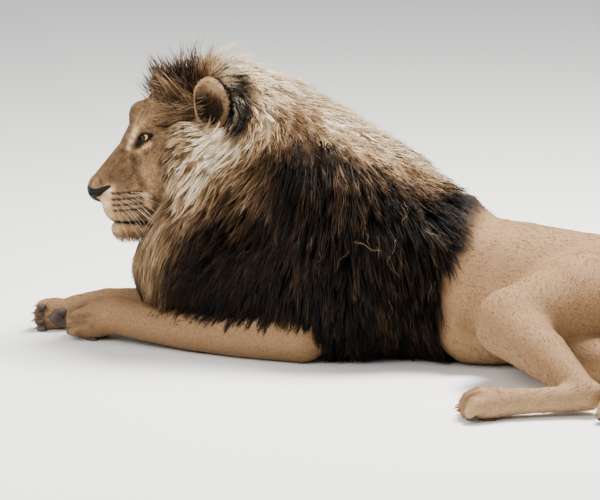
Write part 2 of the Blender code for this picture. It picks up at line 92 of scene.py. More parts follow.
# ---- sizes shared with the solids, metres ----
HEAD_TURN = math.radians(15.0)          # the head looks this far towards its own left
NOSE = (-0.489, -0.093, 0.372)          # tip of the nose, before the animal is centred
EYE_PLACE = (0.1500, 0.0480, 0.1260)    # back from the nose, out to the side, up
FAR = 1.0                               # field value where there is no clay
HEAD_AXES = np.array(((math.cos(HEAD_TURN), math.sin(HEAD_TURN), 0.0),
                      (math.sin(HEAD_TURN), -math.cos(HEAD_TURN), 0.0),
                      (0.0, 0.0, 1.0)))


def shift_to_frame():
    """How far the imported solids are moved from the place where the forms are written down."""
    low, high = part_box("eye_left")
    return (np.array(low) + np.array(high)) / 2 - (np.array(NOSE) + np.array(EYE_PLACE) @ HEAD_AXES)


# Frames: an origin and three axes. Head places read (back from the nose, out to the left, up).
SHIFT = shift_to_frame()
WORLD = (SHIFT, np.eye(3))
HEAD = (np.array(NOSE) + SHIFT, HEAD_AXES)
SCENE = (np.zeros(3), np.eye(3))


# ---------------------------------------------------------------- lumps of clay

def lump(frame, low, high, distance, blend):
    """A form: its frame, its box in it, its distance field and how softly it joins."""
    return {"frame": frame, "low": np.asarray(low), "high": np.asarray(high),
            "distance": distance, "blend": blend}


def egg(centre, radii, blend=0.03, frame=WORLD, turn=(0.0, 0.0, 0.0)):
    """An ellipsoid, turned by Euler angles in degrees."""
    centre = np.asarray(centre, dtype=float)
    radii = np.asarray(radii, dtype=float)
    angles = [math.radians(angle) for angle in turn]
    spin = np.array(Matrix.Rotation(angles[2], 3, "Z") @ Matrix.Rotation(angles[1], 3, "Y")
                    @ Matrix.Rotation(angles[0], 3, "X"))
    reach = np.abs(spin) @ radii

    def distance(points):
        local = (points - centre) @ spin
        near = np.linalg.norm(local / radii, axis=1)
        slope = np.linalg.norm(local / radii ** 2, axis=1)
        return near * (near - 1.0) / np.maximum(slope, 1e-6)

    return lump(frame, centre - reach, centre + reach, distance, blend)


def limb(stations, blend=0.03, frame=WORLD, flat=(1.0, 1.0, 1.0)):
    """A chain of tapered round bars through (x, y, z, radius) stations, thickened along its axes."""
    stations = np.asarray(stations, dtype=float)
    stretch = np.asarray(flat, dtype=float)
    centres, radii = stations[:, :3], stations[:, 3]
    reach = radii[:, None] * stretch

    def distance(points):
        best = np.full(len(points), FAR)
        for a, b, ra, rb in zip(centres[:-1], centres[1:], radii[:-1], radii[1:]):
            axis = (b - a) / stretch
            away = (points - a) / stretch
            along = np.clip(away @ axis / (axis @ axis), 0.0, 1.0)
            spread = np.linalg.norm(away - along[:, None] * axis, axis=1)
            best = np.minimum(best, spread - (ra + along * (rb - ra)))
        return best

    return lump(frame, (centres - reach).min(0), (centres + reach).max(0), distance, blend)


def both_sides(make, *args, **words):
    """The same lump on the left and on the right of a frame whose second axis points left."""
    first = np.array(args[0], dtype=float)
    other = first.copy()
    other[..., 1] *= -1.0
    turn = words.get("turn", (0.0, 0.0, 0.0))
    mirrored = dict(words)
    if "turn" in words:
        mirrored["turn"] = (-turn[0], turn[1], -turn[2])
    return [make(first, *args[1:], **words), make(other, *args[1:], **mirrored)]


# ---------------------------------------------------------------- the animal's forms

def head_forms():
    """Face and skull, without the lower jaw and the ears."""
    forms = [
        egg((0.275, 0.0, 0.130), (0.130, 0.105, 0.122), frame=HEAD),                # brain case
        limb([(0.034, 0.0, 0.000, 0.030), (0.113, 0.0, 0.077, 0.043),
              (0.158, 0.0, 0.144, 0.053), (0.210, 0.0, 0.176, 0.070),
              (0.300, 0.0, 0.165, 0.088)], blend=0.02, frame=HEAD),                  # bridge and brow
        egg((0.133, 0.0, 0.172), (0.031, 0.046, 0.030), blend=0.02, frame=HEAD),     # stop of the brow
        limb([(0.080, 0.0, -0.030, 0.046), (0.170, 0.0, 0.010, 0.070),
              (0.270, 0.0, 0.020, 0.095)], blend=0.03, frame=HEAD),                  # upper jaw
        egg((0.024, 0.0, -0.010), (0.023, 0.033, 0.027), blend=0.012, frame=HEAD),   # nose leather
    ]
    forms += both_sides(egg, (0.083, 0.030, -0.046), (0.045, 0.031, 0.042), blend=0.016,
                        frame=HEAD, turn=(0.0, 12.0, 0.0))                           # whisker pads
    forms += both_sides(egg, (0.120, 0.038, -0.030), (0.052, 0.030, 0.045), blend=0.03,
                        frame=HEAD)                                                  # upper lips
    forms += both_sides(egg, (0.142, 0.048, 0.160), (0.036, 0.022, 0.018), blend=0.02,
                        frame=HEAD, turn=(0.0, -35.0, 32.0))                         # brows
    forms += both_sides(egg, (0.198, 0.046, 0.165), (0.058, 0.042, 0.060), blend=0.03,
                        frame=HEAD)                                                  # forehead
    forms += both_sides(egg, (0.208, 0.080, 0.064), (0.074, 0.036, 0.054), blend=0.04,
                        frame=HEAD, turn=(0.0, 0.0, 30.0))                           # cheekbones
    forms += both_sides(egg, (0.240, 0.070, -0.010), (0.080, 0.050, 0.085), blend=0.04,
                        frame=HEAD)                                                  # chewing muscles
    return forms


def head_hollows():
    """The hollows that the eyes lie in."""
    back, out, up = EYE_PLACE
    return both_sides(egg, (back - 0.010, out + 0.032, up), (0.030, 0.017, 0.013), blend=0.016,
                      frame=HEAD, turn=(0.0, -8.0, 40.0))


def jaw_forms():
    """Chin and lower jaw."""
    forms = [
        egg((0.086, 0.0, -0.105), (0.030, 0.030, 0.021), blend=0.01, frame=HEAD),    # chin
        limb([(0.088, 0.0, -0.102, 0.019), (0.150, 0.0, -0.105, 0.024),
              (0.200, 0.0, -0.090, 0.038)], blend=0.02, frame=HEAD),
    ]
    forms += both_sides(limb, [(0.086, 0.012, -0.101, 0.017), (0.150, 0.040, -0.096, 0.024),
                               (0.210, 0.062, -0.075, 0.038)], blend=0.015, frame=HEAD)
    return forms


def ear_forms(side):
    """One round ear: a cup that opens forwards and outwards."""
    return [egg((0.302, side * 0.128, 0.220), (0.047, 0.030, 0.066), blend=0.01, frame=HEAD,
                turn=(side * -12.0, -8.0, side * 14.0)),
            limb([(0.300, side * 0.100, 0.160, 0.040), (0.302, side * 0.118, 0.190, 0.036)],
                 blend=0.02, frame=HEAD)]


def ear_hollow(side):
    """The inside of an ear's cup."""
    return [egg((0.288, side * 0.151, 0.224), (0.034, 0.026, 0.050), blend=0.008, frame=HEAD,
                turn=(side * -12.0, -8.0, side * 22.0))]


def crown_forms():
    """The upright hair on top of the head, from the forelock to behind the ears."""
    forms = [
        limb([(0.138, 0.0, 0.292, 0.020), (0.168, 0.0, 0.268, 0.040), (0.225, 0.0, 0.290, 0.060),
              (0.285, 0.0, 0.270, 0.082), (0.345, 0.0, 0.225, 0.090)], blend=0.02, frame=HEAD),
    ]
    forms += both_sides(limb, [(0.195, 0.045, 0.225, 0.045), (0.270, 0.070, 0.235, 0.060),
                               (0.345, 0.085, 0.210, 0.080)], blend=0.03, frame=HEAD)
    return forms


def body_forms():
    """Neck, mane, chest and trunk down to the loin."""
    forms = [
        limb([(-0.165, -0.010, 0.455, 0.180), (-0.100, 0.000, 0.452, 0.200),
              (0.020, 0.000, 0.385, 0.206), (0.150, 0.000, 0.300, 0.215),
              (0.290, 0.000, 0.235, 0.186)], blend=0.04, flat=(1.0, 1.1, 1.0)),      # nape to withers
        limb([(0.320, 0.000, 0.330, 0.085), (0.395, 0.004, 0.345, 0.046)], blend=0.03),  # mane's end
        limb([(-0.205, -0.020, 0.300, 0.165), (-0.225, -0.038, 0.205, 0.165),
              (-0.050, -0.010, 0.160, 0.200)], blend=0.05),                          # throat mane
        limb([(-0.060, 0.000, 0.150, 0.200), (0.120, 0.000, 0.150, 0.225),
              (0.250, 0.000, 0.150, 0.195)], blend=0.06),                            # breast
        limb([(0.180, 0.000, 0.225, 0.200), (0.450, 0.000, 0.170, 0.160),
              (0.560, 0.006, 0.154, 0.146), (0.680, 0.010, 0.150, 0.136)], blend=0.03,
             flat=(1.0, 1.08, 1.0)),                                                 # barrel
        egg((0.460, -0.040, 0.110), (0.240, 0.180, 0.125), blend=0.05),              # belly
    ]
    forms += both_sides(egg, (0.262, 0.135, 0.050), (0.080, 0.090, 0.135), blend=0.05, frame=HEAD,
                        turn=(0.0, -12.0, 0.0))                                      # cheek ruff
    forms += both_sides(egg, (0.225, 0.090, -0.085), (0.066, 0.085, 0.085), blend=0.05,
                        frame=HEAD)                                                  # lower ruff
    forms += both_sides(egg, (0.130, 0.150, 0.190), (0.190, 0.115, 0.180), blend=0.06)   # shoulders
    return forms


def hindquarter_forms():
    """The pelvis, rolled so that the spine lies towards +Y."""
    return [
        limb([(0.560, 0.006, 0.160, 0.152), (0.680, 0.010, 0.155, 0.142),
              (0.850, 0.015, 0.145, 0.140)], blend=0.04),
        egg((0.840, 0.010, 0.140), (0.180, 0.170, 0.150), blend=0.05),
    ]


def foreleg_forms(side):
    """Forearm and paw, stretched forward along the floor; the right paw lies rolled on its side."""
    if side > 0:
        stations = [(0.060, -0.182, 0.068, 0.076), (-0.080, -0.178, 0.056, 0.062),
                    (-0.220, -0.158, 0.052, 0.053), (-0.330, -0.136, 0.056, 0.048),
                    (-0.405, -0.118, 0.066, 0.050), (-0.450, -0.105, 0.058, 0.047)]
        paw = [egg((-0.482, -0.094, 0.046), (0.066, 0.060, 0.050), blend=0.02, turn=(0, 0, 15.0))]
        for toe in range(4):
            across = -0.139 + 0.031 * toe
            ahead = -0.512 + 0.012 * abs(toe - 1.5)
            paw.append(limb([(ahead + 0.030, across, 0.060, 0.021), (ahead, across, 0.052, 0.020),
                             (ahead - 0.018, across, 0.026, 0.018)], blend=0.010))
    else:
        stations = [(-0.040, 0.158, 0.068, 0.076), (-0.160, 0.132, 0.056, 0.062),
                    (-0.300, 0.090, 0.050, 0.053), (-0.400, 0.055, 0.050, 0.047),
                    (-0.480, 0.030, 0.050, 0.047), (-0.545, 0.002, 0.042, 0.042)]
        paw = [egg((-0.592, -0.024, 0.036), (0.058, 0.036, 0.040), blend=0.02, turn=(0, 0, 28.0))]
        for toe in range(4):
            up = 0.006 + 0.0185 * toe
            ahead = 0.007 * abs(toe - 1.5)
            paw.append(limb([(ahead - 0.602, -0.020, up, 0.017), (ahead - 0.624, -0.036, up, 0.018),
                             (ahead - 0.632, -0.058, up, 0.015)], blend=0.008))
    return [limb(stations, blend=0.03)] + paw


def hindleg_forms(side):
    """Thigh, shank and foot, drawn up beside the rolled pelvis."""
    if side > 0:
        thigh = [limb([(0.860, -0.030, 0.170, 0.138), (0.710, -0.155, 0.165, 0.124),
                       (0.588, -0.262, 0.148, 0.082)], blend=0.04)]
        shank = [(0.572, -0.285, 0.140, 0.076), (0.680, -0.385, 0.102, 0.060),
                 (0.785, -0.485, 0.055, 0.037), (0.812, -0.500, 0.048, 0.032)]
        foot = [(0.800, -0.498, 0.040, 0.034), (0.690, -0.545, 0.036, 0.032),
                (0.620, -0.575, 0.036, 0.036)]
        toes, heading = (0.585, -0.590), math.atan2(-0.11, -0.27)
    else:
        thigh = [limb([(0.880, 0.000, 0.110, 0.125), (0.760, -0.120, 0.080, 0.095),
                       (0.680, -0.210, 0.070, 0.070)], blend=0.04)]
        shank = [(0.680, -0.220, 0.068, 0.066), (0.830, -0.270, 0.060, 0.054),
                 (0.945, -0.308, 0.050, 0.037), (0.975, -0.315, 0.046, 0.032)]
        foot = [(0.968, -0.318, 0.040, 0.034), (0.930, -0.430, 0.036, 0.032),
                (0.905, -0.510, 0.036, 0.036)]
        toes, heading = (0.895, -0.545), math.atan2(-0.27, -0.09)
    forms = thigh + [limb(shank, blend=0.03), limb(foot, blend=0.02)]
    forward = np.array((math.cos(heading), math.sin(heading)))
    across = np.array((-forward[1], forward[0]))
    forms.append(egg((toes[0], toes[1], 0.036), (0.058, 0.050, 0.040), blend=0.02,
                     turn=(0.0, 0.0, math.degrees(heading))))
    for toe in range(4):
        aside = toe - 1.5
        place = np.array(toes) + across * (0.027 * aside) + forward * (0.028 - 0.008 * abs(aside))
        tip = place + forward * 0.020
        forms.append(limb([(place[0], place[1], 0.040, 0.018), (tip[0], tip[1], 0.022, 0.016)],
                          blend=0.010))
    return forms


TAIL = [(0.960, 0.030, 0.110, 0.055), (1.040, 0.045, 0.052, 0.038), (1.110, 0.045, 0.024, 0.029),
        (1.220, 0.020, 0.024, 0.025), (1.320, -0.045, 0.020, 0.021), (1.400, -0.150, 0.018, 0.019),
        (1.440, -0.270, 0.017, 0.018), (1.445, -0.360, 0.017, 0.018)]
TUFT = [(1.446, -0.350, 0.020, 0.022), (1.442, -0.420, 0.028, 0.033), (1.425, -0.490, 0.024, 0.028),
        (1.405, -0.550, 0.010, 0.012)]


def curved(stations, steps=4):
    """Stations along a smooth curve through the given ones."""
    stations = np.asarray(stations)
    ends = np.concatenate((stations[:1] * 2 - stations[1:2], stations,
                           stations[-1:] * 2 - stations[-2:-1]))
    found = []
    for a, b, c, d in zip(ends[:-3], ends[1:-2], ends[2:-1], ends[3:]):
        for t in np.arange(steps) / steps:
            bend = 2 * a - 5 * b + 4 * c - d + t * (3 * (b - c) + d - a)
            found.append(b + 0.5 * t * (c - a + t * bend))
    return found + [stations[-1]]


def tail_forms():
    """The tail, laid aside on the floor, and its tuft."""
    return [limb(curved(TAIL), blend=0.02), limb(TUFT, blend=0.02)]


# ---------------------------------------------------------------- fields of pressed clay

def smooth_union(first, second, blend):
    """The union of two fields with a rounded seam."""
    near = np.maximum(blend - np.abs(first - second), 0.0) / blend
    return np.minimum(first, second) - near * near * blend * 0.25


def smooth_cut(field, hollow, blend):
    """Take a hollow out of a field with a rounded edge."""
    return -smooth_union(-field, hollow, blend)


def step_up(value, first, last):
    """Smooth step from 0 at first to 1 at last."""
    t = np.clip((value - first) / (last - first), 0.0, 1.0)
    return t * t * (3.0 - 2.0 * t)


def unit(vectors):
    """Vectors of length one."""
    length = np.linalg.norm(vectors, axis=-1, keepdims=True)
    return vectors / np.maximum(length, 1e-9)


def in_head(points):
    """Points as (back, out to the left, up) of the head."""
    return (points - HEAD[0]) @ HEAD[1].T


def as_written(points):
    """Points in the frame in which the body's forms are written down."""
    return points - SHIFT


REACH = 0.045                           # how far from a lump its field is still reckoned


def pressed(points, forms, hollows=()):
    """The distance field of lumps pressed together, at given points."""
    field = np.full(len(points), FAR)
    for form, hollow in [(form, False) for form in forms] + [(form, True) for form in hollows]:
        origin, axes = form["frame"]
        local = (points - origin) @ axes.T
        reach = form["blend"] + REACH
        inside = np.all((local > form["low"] - reach) & (local < form["high"] + reach), axis=1)
        distance = form["distance"](local[inside])
        here = field[inside]
        if hollow:
            field[inside] = smooth_cut(here, distance, form["blend"])
        else:
            field[inside] = smooth_union(here, distance, form["blend"])
    return field


def grid_points(low, counts, grain):
    """The points of a grid."""
    steps = np.stack(np.meshgrid(*(np.arange(n) for n in counts), indexing="ij"), axis=-1)
    return low + steps.reshape(-1, 3) * grain


class Field:
    """A clay's field on a grid, reckoned finely only near its surface."""

    COARSE = 3

    def __init__(self, clay, low, high, grain, iso=0.0):
        big = grain * self.COARSE
        self.low, self.grain = np.asarray(low, dtype=float), grain
        counts = np.ceil((np.asarray(high) - self.low) / big).astype(int) + 1
        rough = clay(grid_points(self.low, counts, big)).reshape(counts)
        nearest = [np.rint(np.arange((n - 1) * self.COARSE + 1) / self.COARSE).astype(int)
                   for n in counts]
        self.values = rough[np.ix_(*nearest)].astype(np.float32)
        close = (np.abs(rough - iso) < 2.0 * big)[np.ix_(*nearest)]
        steps = np.argwhere(close)
        self.values[close] = clay(self.low + steps * grain)

    def sample(self, points):
        """Value and slope at points, between the grid's own."""
        place = (points - self.low) / self.grain
        cell = np.clip(np.floor(place).astype(int), 0, np.array(self.values.shape) - 2)
        part = np.clip(place - cell, 0.0, 1.0)
        value = np.zeros(len(points))
        slope = np.zeros((len(points), 3))
        for corner in np.ndindex(2, 2, 2):
            here = cell + corner
            found = self.values[here[:, 0], here[:, 1], here[:, 2]]
            weight = np.where(corner, part, 1.0 - part)
            sign = np.where(corner, 1.0, -1.0)
            value += found * weight.prod(axis=1)
            for axis in range(3):
                others = [other for other in range(3) if other != axis]
                slope[:, axis] += found * sign[axis] * weight[:, others].prod(axis=1)
        return value, slope / self.grain

    def surface(self, iso=0.0):
        """Points and outward four-sided faces of the level surface."""
        grid = openvdb.FloatGrid(background=FAR)
        grid.copyFromArray(self.values)
        points, quads = grid.convertToQuads(iso)
        points = points * self.grain + self.low
        corners = points[quads]
        turning = np.cross(corners[:, 1] - corners[:, 0], corners[:, 2] - corners[:, 0])
        if np.einsum("ij,ij->", corners[:, 0] - points.mean(0), turning) < 0.0:
            quads = quads[:, ::-1]
        return points, quads


# ---------------------------------------------------------------- meshes

def mesh_object(name, points, faces, colours=None, uvs=None):
    """An object from arrays of points and of equal-sided faces, smooth shaded."""
    faces = np.ascontiguousarray(faces, dtype=np.int32)
    sides = faces.shape[1]
    mesh = bpy.data.meshes.new(name)
    mesh.vertices.add(len(points))
    mesh.vertices.foreach_set("co", np.ascontiguousarray(points, dtype=np.float32).ravel())
    mesh.loops.add(faces.size)
    mesh.loops.foreach_set("vertex_index", faces.ravel())
    mesh.polygons.add(len(faces))
    mesh.polygons.foreach_set("loop_start", np.arange(0, faces.size, sides, dtype=np.int32))
    mesh.update(calc_edges=True)
    mesh.polygons.foreach_set("use_smooth", np.ones(len(faces), dtype=bool))
    if colours is not None:
        store_colours(mesh, colours)
    if uvs is not None:
        layer = mesh.uv_layers.new(name="OFBake")
        layer.data.foreach_set("uv", uvs[faces.ravel()].astype(np.float32).ravel())
    thing = bpy.data.objects.new(name, mesh)
    bpy.context.scene.collection.objects.link(thing)
    return thing


def store_colours(mesh, colours):
    """Keep a colour for each point of a mesh."""
    layer = mesh.color_attributes.new(name=COLOUR_LAYER, type="FLOAT_COLOR", domain="POINT")
    full = np.ones((len(colours), 4), dtype=np.float32)
    full[:, :3] = colours
    layer.data.foreach_set("color", full.ravel())


def mesh_points(mesh):
    """A mesh's points as an array."""
    flat = np.empty(len(mesh.vertices) * 3, dtype=np.float32)
    mesh.vertices.foreach_get("co", flat)
    return flat.reshape(-1, 3).astype(float)


def choose(thing):
    """Make a thing the only selected one, and the active one."""
    bpy.ops.object.select_all(action="DESELECT")
    thing.select_set(True)
    bpy.context.view_layer.objects.active = thing


def finish_with(thing, kind, **settings):
    """Add a modifier and apply it."""
    choose(thing)
    bpy.ops.object.modifier_add(type=kind)
    modifier = thing.modifiers[-1]
    for key, value in settings.items():
        setattr(modifier, key, value)
    bpy.ops.object.modifier_apply(modifier=modifier.name)


def joined(shells, name):
    """Several things made one, under a new name."""
    choose(shells[0])
    for shell in shells[1:]:
        shell.select_set(True)
    bpy.ops.object.join()
    shells[0].name = shells[0].data.name = name
    return shells[0]


def hand_over(thing, slot, *nodes):
    """Tie a finished piece to the frame: its body, and the nodes that it stands for. Its slot is not used.
    """
    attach(thing, "root")
    if nodes:
        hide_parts(*nodes)


# ---------------------------------------------------------------- markings

COLOUR_LAYER = "coat_colour"
TONES = (0.0, 0.12, 0.3, 0.5, 0.75, 1.0)    # from black to palest, and their colours
TONE_COLOURS = np.array(((0.0045, 0.0036, 0.003), (0.016, 0.0105, 0.007), (0.082, 0.047, 0.025),
                         (0.265, 0.163, 0.088), (0.560, 0.410, 0.250), (0.860, 0.760, 0.590)))
SHORT_TONE = 0.50
FACE_TONE = 0.42

# The mane: a place, the direction in which it lies there, and its tone. Both sides alike. The tones are
# partly the mane's own colour, blond about the face and dark behind, and partly painted light: pale on top
# of the crown, behind the ears and along the withers where sunlight falls, and near-black in painted shade
# low down by the floor.
HEAD_MANE = (
    ((0.148, 0.030, 0.276), (-0.60, 0.10, 0.80), 0.24),
    ((0.181, 0.030, 0.312), (-0.35, 0.10, 0.92), 0.24),
    ((0.248, 0.015, 0.345), (-0.10, 0.10, 1.00), 0.30),
    ((0.302, 0.040, 0.338), (0.40, 0.20, 0.88), 0.66),
    ((0.231, 0.075, 0.285), (-0.15, 0.30, 0.95), 0.14),
    ((0.270, 0.100, 0.290), (0.15, 0.30, 0.90), 0.12),
    ((0.205, 0.100, 0.231), (-0.55, 0.40, 0.60), 0.52),
    ((0.200, 0.120, 0.180), (-0.85, 0.30, 0.10), 0.48),
    ((0.204, 0.135, 0.142), (-0.80, 0.30, -0.50), 0.42),
    ((0.252, 0.150, 0.155), (-0.80, 0.30, -0.50), 1.10),
    ((0.205, 0.150, 0.105), (-0.62, 0.10, -0.78), 0.42),
    ((0.200, 0.165, 0.055), (-0.60, 0.00, -0.80), 0.48),
    ((0.343, 0.043, 0.315), (0.90, 0.10, -0.35), 0.86),
    ((0.398, 0.061, 0.282), (0.80, 0.30, -0.50), 1.10),
    ((0.417, 0.153, 0.229), (0.25, 0.50, -0.85), 1.15),
    ((0.386, 0.200, 0.179), (-0.63, 0.30, -0.70), 1.10),
    ((0.326, 0.209, 0.132), (-0.81, 0.05, -0.59), 1.15),
    ((0.267, 0.222, 0.086), (-0.75, 0.05, -0.65), 1.15),
    ((0.244, 0.213, 0.035), (-0.58, -0.10, -0.81), 1.05),
    ((0.224, 0.205, -0.022), (-0.50, -0.10, -0.86), 0.88),
    ((0.190, 0.169, -0.035), (-0.42, -0.10, -0.90), 0.58),
    ((0.165, 0.153, -0.112), (-0.24, 0.00, -0.96), 0.60),
    ((0.140, 0.115, -0.194), (-0.08, 0.00, -1.00), 0.60),
    ((0.345, 0.170, 0.215), (0.10, 0.40, -0.90), 0.95),
    ((0.350, 0.140, 0.265), (0.50, 0.40, -0.60), 0.95),
    ((0.385, 0.100, 0.270), (0.70, 0.40, -0.60), 1.10),
    ((0.450, 0.100, 0.230), (0.70, 0.40, -0.60), 0.92),
    ((0.430, 0.180, 0.180), (-0.10, 0.40, -0.90), 1.05),
    ((0.470, 0.180, 0.190), (0.10, 0.40, -0.90), 0.40),
)
BODY_MANE = (
    ((0.01, 0.02, 0.62), (0.88, 0.10, -0.45), 0.92),
    ((0.11, 0.02, 0.57), (0.90, 0.15, -0.43), 0.95),
    ((0.21, 0.03, 0.51), (0.87, 0.15, -0.48), 0.95),
    ((0.32, 0.03, 0.43), (0.85, 0.15, -0.50), 0.85),
    ((-0.04, 0.07, 0.62), (0.70, 0.30, -0.60), 0.92),
    ((0.02, 0.08, 0.60), (0.75, 0.30, -0.60), 0.74),
    ((0.11, 0.08, 0.55), (0.75, 0.35, -0.60), 0.85),
    ((0.21, 0.08, 0.49), (0.75, 0.35, -0.60), 0.80),
    ((0.31, 0.07, 0.43), (0.75, 0.30, -0.60), 0.62),
    ((0.02, 0.15, 0.55), (0.35, 0.50, -0.75), 0.30),
    ((0.05, 0.12, 0.585), (0.50, 0.40, -0.70), 0.46),
    ((-0.01, 0.21, 0.49), (-0.45, 0.39, -0.80), 0.12),
    ((-0.08, 0.22, 0.44), (-0.62, 0.00, -0.78), 0.40),
    ((-0.12, 0.22, 0.40), (-0.66, 0.00, -0.75), 0.36),
    ((-0.15, 0.21, 0.33), (-0.62, 0.00, -0.78), 0.16),
    ((-0.18, 0.20, 0.24), (-0.50, 0.10, -0.86), 0.03),
    ((-0.23, 0.20, 0.17), (-0.41, 0.00, -0.90), 0.06),
    ((-0.20, 0.20, 0.30), (-0.55, 0.00, -0.82), 0.10),
    ((0.08, 0.18, 0.49), (0.05, 0.50, -0.86), 0.13),
    ((0.18, 0.16, 0.46), (0.30, 0.50, -0.80), 0.16),
    ((0.29, 0.13, 0.41), (0.45, 0.40, -0.80), 0.10),
    ((0.37, 0.08, 0.38), (0.77, 0.30, -0.57), 0.04),
    ((0.41, 0.09, 0.35), (0.74, 0.10, -0.67), 0.04),
    ((0.02, 0.23, 0.35), (-0.24, 0.00, -0.97), 0.11),
    ((0.15, 0.24, 0.35), (-0.03, 0.38, -0.92), 0.10),
    ((0.26, 0.21, 0.33), (0.20, 0.33, -0.91), 0.07),
    ((-0.03, 0.23, 0.22), (-0.28, 0.05, -0.96), 0.06),
    ((0.13, 0.27, 0.21), (-0.05, 0.04, -1.00), 0.06),
    ((0.31, 0.20, 0.28), (0.20, 0.27, -0.94), 0.05),
    ((0.30, 0.22, 0.12), (0.15, 0.05, -1.00), 0.05),
    ((0.05, 0.26, 0.10), (-0.15, 0.05, -1.00), 0.04),
    ((-0.37, 0.05, 0.25), (-0.05, 0.00, -1.00), 0.50),
    ((-0.36, 0.04, 0.12), (0.00, 0.00, -1.00), 0.36),
    ((-0.30, 0.12, 0.10), (-0.15, 0.05, -1.00), 0.30),
)
MANE_REACH = 0.050

# The short coat: a place, and the direction in which it lies.
BODY_LIE = (
    ((0.50, 0.06, 0.31), (0.95, 0.10, -0.20)),
    ((0.75, 0.06, 0.29), (0.95, 0.15, -0.20)),
    ((0.55, 0.17, 0.18), (0.70, 0.10, -0.70)),
    ((0.80, 0.17, 0.15), (0.70, 0.10, -0.70)),
    ((1.00, 0.05, 0.15), (0.60, 0.00, -0.80)),
)
LIE_REACH = 0.080

# Marks on the head: a place, its radius, a tone, and how fully it covers. Both sides alike. Some are the
# face's own markings, others are painted shade in folds and under ridges and painted highlights on ridges.
FACE_MARKS = (
    ((0.060, 0.000, 0.045), 0.040, 0.36, 0.8),      # bridge of the nose
    ((0.115, 0.000, 0.170), 0.022, 0.26, 0.8),      # dark line up the forehead
    ((0.150, 0.000, 0.215), 0.026, 0.30, 0.7),
    ((0.165, 0.060, 0.185), 0.030, 0.50, 0.7),      # forehead beside it
    ((0.160, 0.060, 0.150), 0.010, 0.36, 0.7),      # above the eye
    ((0.185, 0.090, 0.110), 0.026, 0.38, 0.7),      # temple
    ((0.205, 0.115, 0.045), 0.022, 0.24, 0.8),      # painted shade under the cheekbone
    ((0.190, 0.112, 0.015), 0.016, 0.30, 0.6),
    ((0.160, 0.098, 0.060), 0.022, 0.52, 0.7),      # cheek
    ((0.150, 0.090, 0.020), 0.018, 0.56, 0.6),
    ((0.132, 0.040, 0.163), 0.009, 0.74, 0.6),      # pale spot on the brow, with a painted highlight
    ((0.1245, 0.036, 0.1505), 0.006, 0.82, 0.8),    # pale stripe from brow to inner corner, with a painted highlight on the brow
    ((0.118, 0.037, 0.140), 0.0055, 0.90, 0.9),
    ((0.112, 0.038, 0.127), 0.0055, 0.92, 0.9),
    ((0.106, 0.039, 0.112), 0.005, 0.90, 0.9),
    ((0.101, 0.040, 0.096), 0.0045, 0.85, 0.9),
    ((0.137, 0.046, 0.121), 0.008, 0.00, 1.0),      # black tear line at the inner corner of the eye, with painted shade in that corner
    ((0.127, 0.047, 0.109), 0.007, 0.00, 1.0),
    ((0.1185, 0.048, 0.0985), 0.005, 0.02, 1.0),
    ((0.120, 0.060, 0.0870), 0.0042, 0.85, 0.9),    # pale stripe below the eye
    ((0.1275, 0.064, 0.0930), 0.0042, 1.00, 0.95),
    ((0.135, 0.068, 0.0990), 0.0042, 1.00, 0.95),
    ((0.1425, 0.072, 0.1050), 0.0042, 1.00, 0.95),
    ((0.151, 0.076, 0.1120), 0.0040, 0.90, 0.9),
    ((0.109, 0.050, 0.080), 0.0055, 0.24, 0.6),     # painted shade in the folds from the eye down the cheek
    ((0.111, 0.055, 0.066), 0.0055, 0.20, 0.7),
    ((0.114, 0.060, 0.052), 0.0055, 0.18, 0.8),
    ((0.118, 0.066, 0.040), 0.0055, 0.18, 0.8),
    ((0.124, 0.070, 0.028), 0.0055, 0.18, 0.8),
    ((0.131, 0.075, 0.016), 0.0055, 0.18, 0.8),
    ((0.139, 0.080, 0.004), 0.0055, 0.20, 0.8),
    # painted highlight on the ridge beside these folds
    ((0.134, 0.080, 0.046), 0.0090, 0.60, 0.7),
    ((0.030, 0.000, 0.012), 0.0140, 0.56, 0.8),     # end of the nose's bridge
    ((0.026, 0.000, -0.050), 0.0040, 0.04, 1.0),    # lip groove
    ((0.032, 0.000, -0.058), 0.0040, 0.04, 1.0),
    ((0.038, 0.000, -0.066), 0.0040, 0.04, 1.0),
    ((0.044, 0.000, -0.075), 0.0035, 0.05, 1.0),
    ((0.085, 0.040, 0.020), 0.024, 0.34, 0.7),      # painted shade on the side of the nose
    ((0.095, 0.055, -0.035), 0.030, 0.52, 0.9),     # whisker pads
    ((0.046, 0.034, -0.036), 0.013, 0.84, 0.9),
    ((0.056, 0.040, -0.066), 0.014, 0.66, 0.8),
    ((0.056, 0.044, -0.006), 0.009, 0.95, 0.9),     # behind the nostril
    ((0.075, 0.020, -0.112), 0.024, 0.66, 0.9),     # chin
    ((0.110, 0.050, -0.115), 0.026, 0.50, 0.7),
    ((0.136, 0.086, -0.010), 0.008, 0.80, 0.9),      # painted highlight on the ridge behind the pads
    ((0.148, 0.090, -0.032), 0.008, 0.75, 0.9),
    ((0.166, 0.100, -0.020), 0.010, 0.20, 0.8),     # shade behind the ridge
    ((0.160, 0.096, -0.055), 0.012, 0.10, 0.8),     # corner of the mouth
)
BLACK_TONE = 0.0
WHISKER_ROWS = np.array((0.063, 0.060, -0.0105))     # the foremost upper whisker's root
WHISKER_STEP = (0.0130, 0.0014)         # from one whisker to the next of its row: back, up
ROW_STEP = (0.002, -0.0132)             # from one row to the next below: back, up
WHISKERS = (4, 6)                       # rows on a side, and whiskers in a row
MOTTLING_WAVES = 9
PAINTED_TOE_SHADE = (0.10, 0.0035)              # painted shade between the toes: how dark, and how far from there it reaches
MOUTH_LINE = (-0.0815, 0.0042)          # its height on the head, and half its dark breadth
EAR_BACK = 0.56                         # tones of the back of the ear and of its black patch
EAR_PATCH = 0.02
BEHIND_EAR_SIZE = 0.024
SIDEWAYS = 0.3                          # distances across the head count only this much in a mark


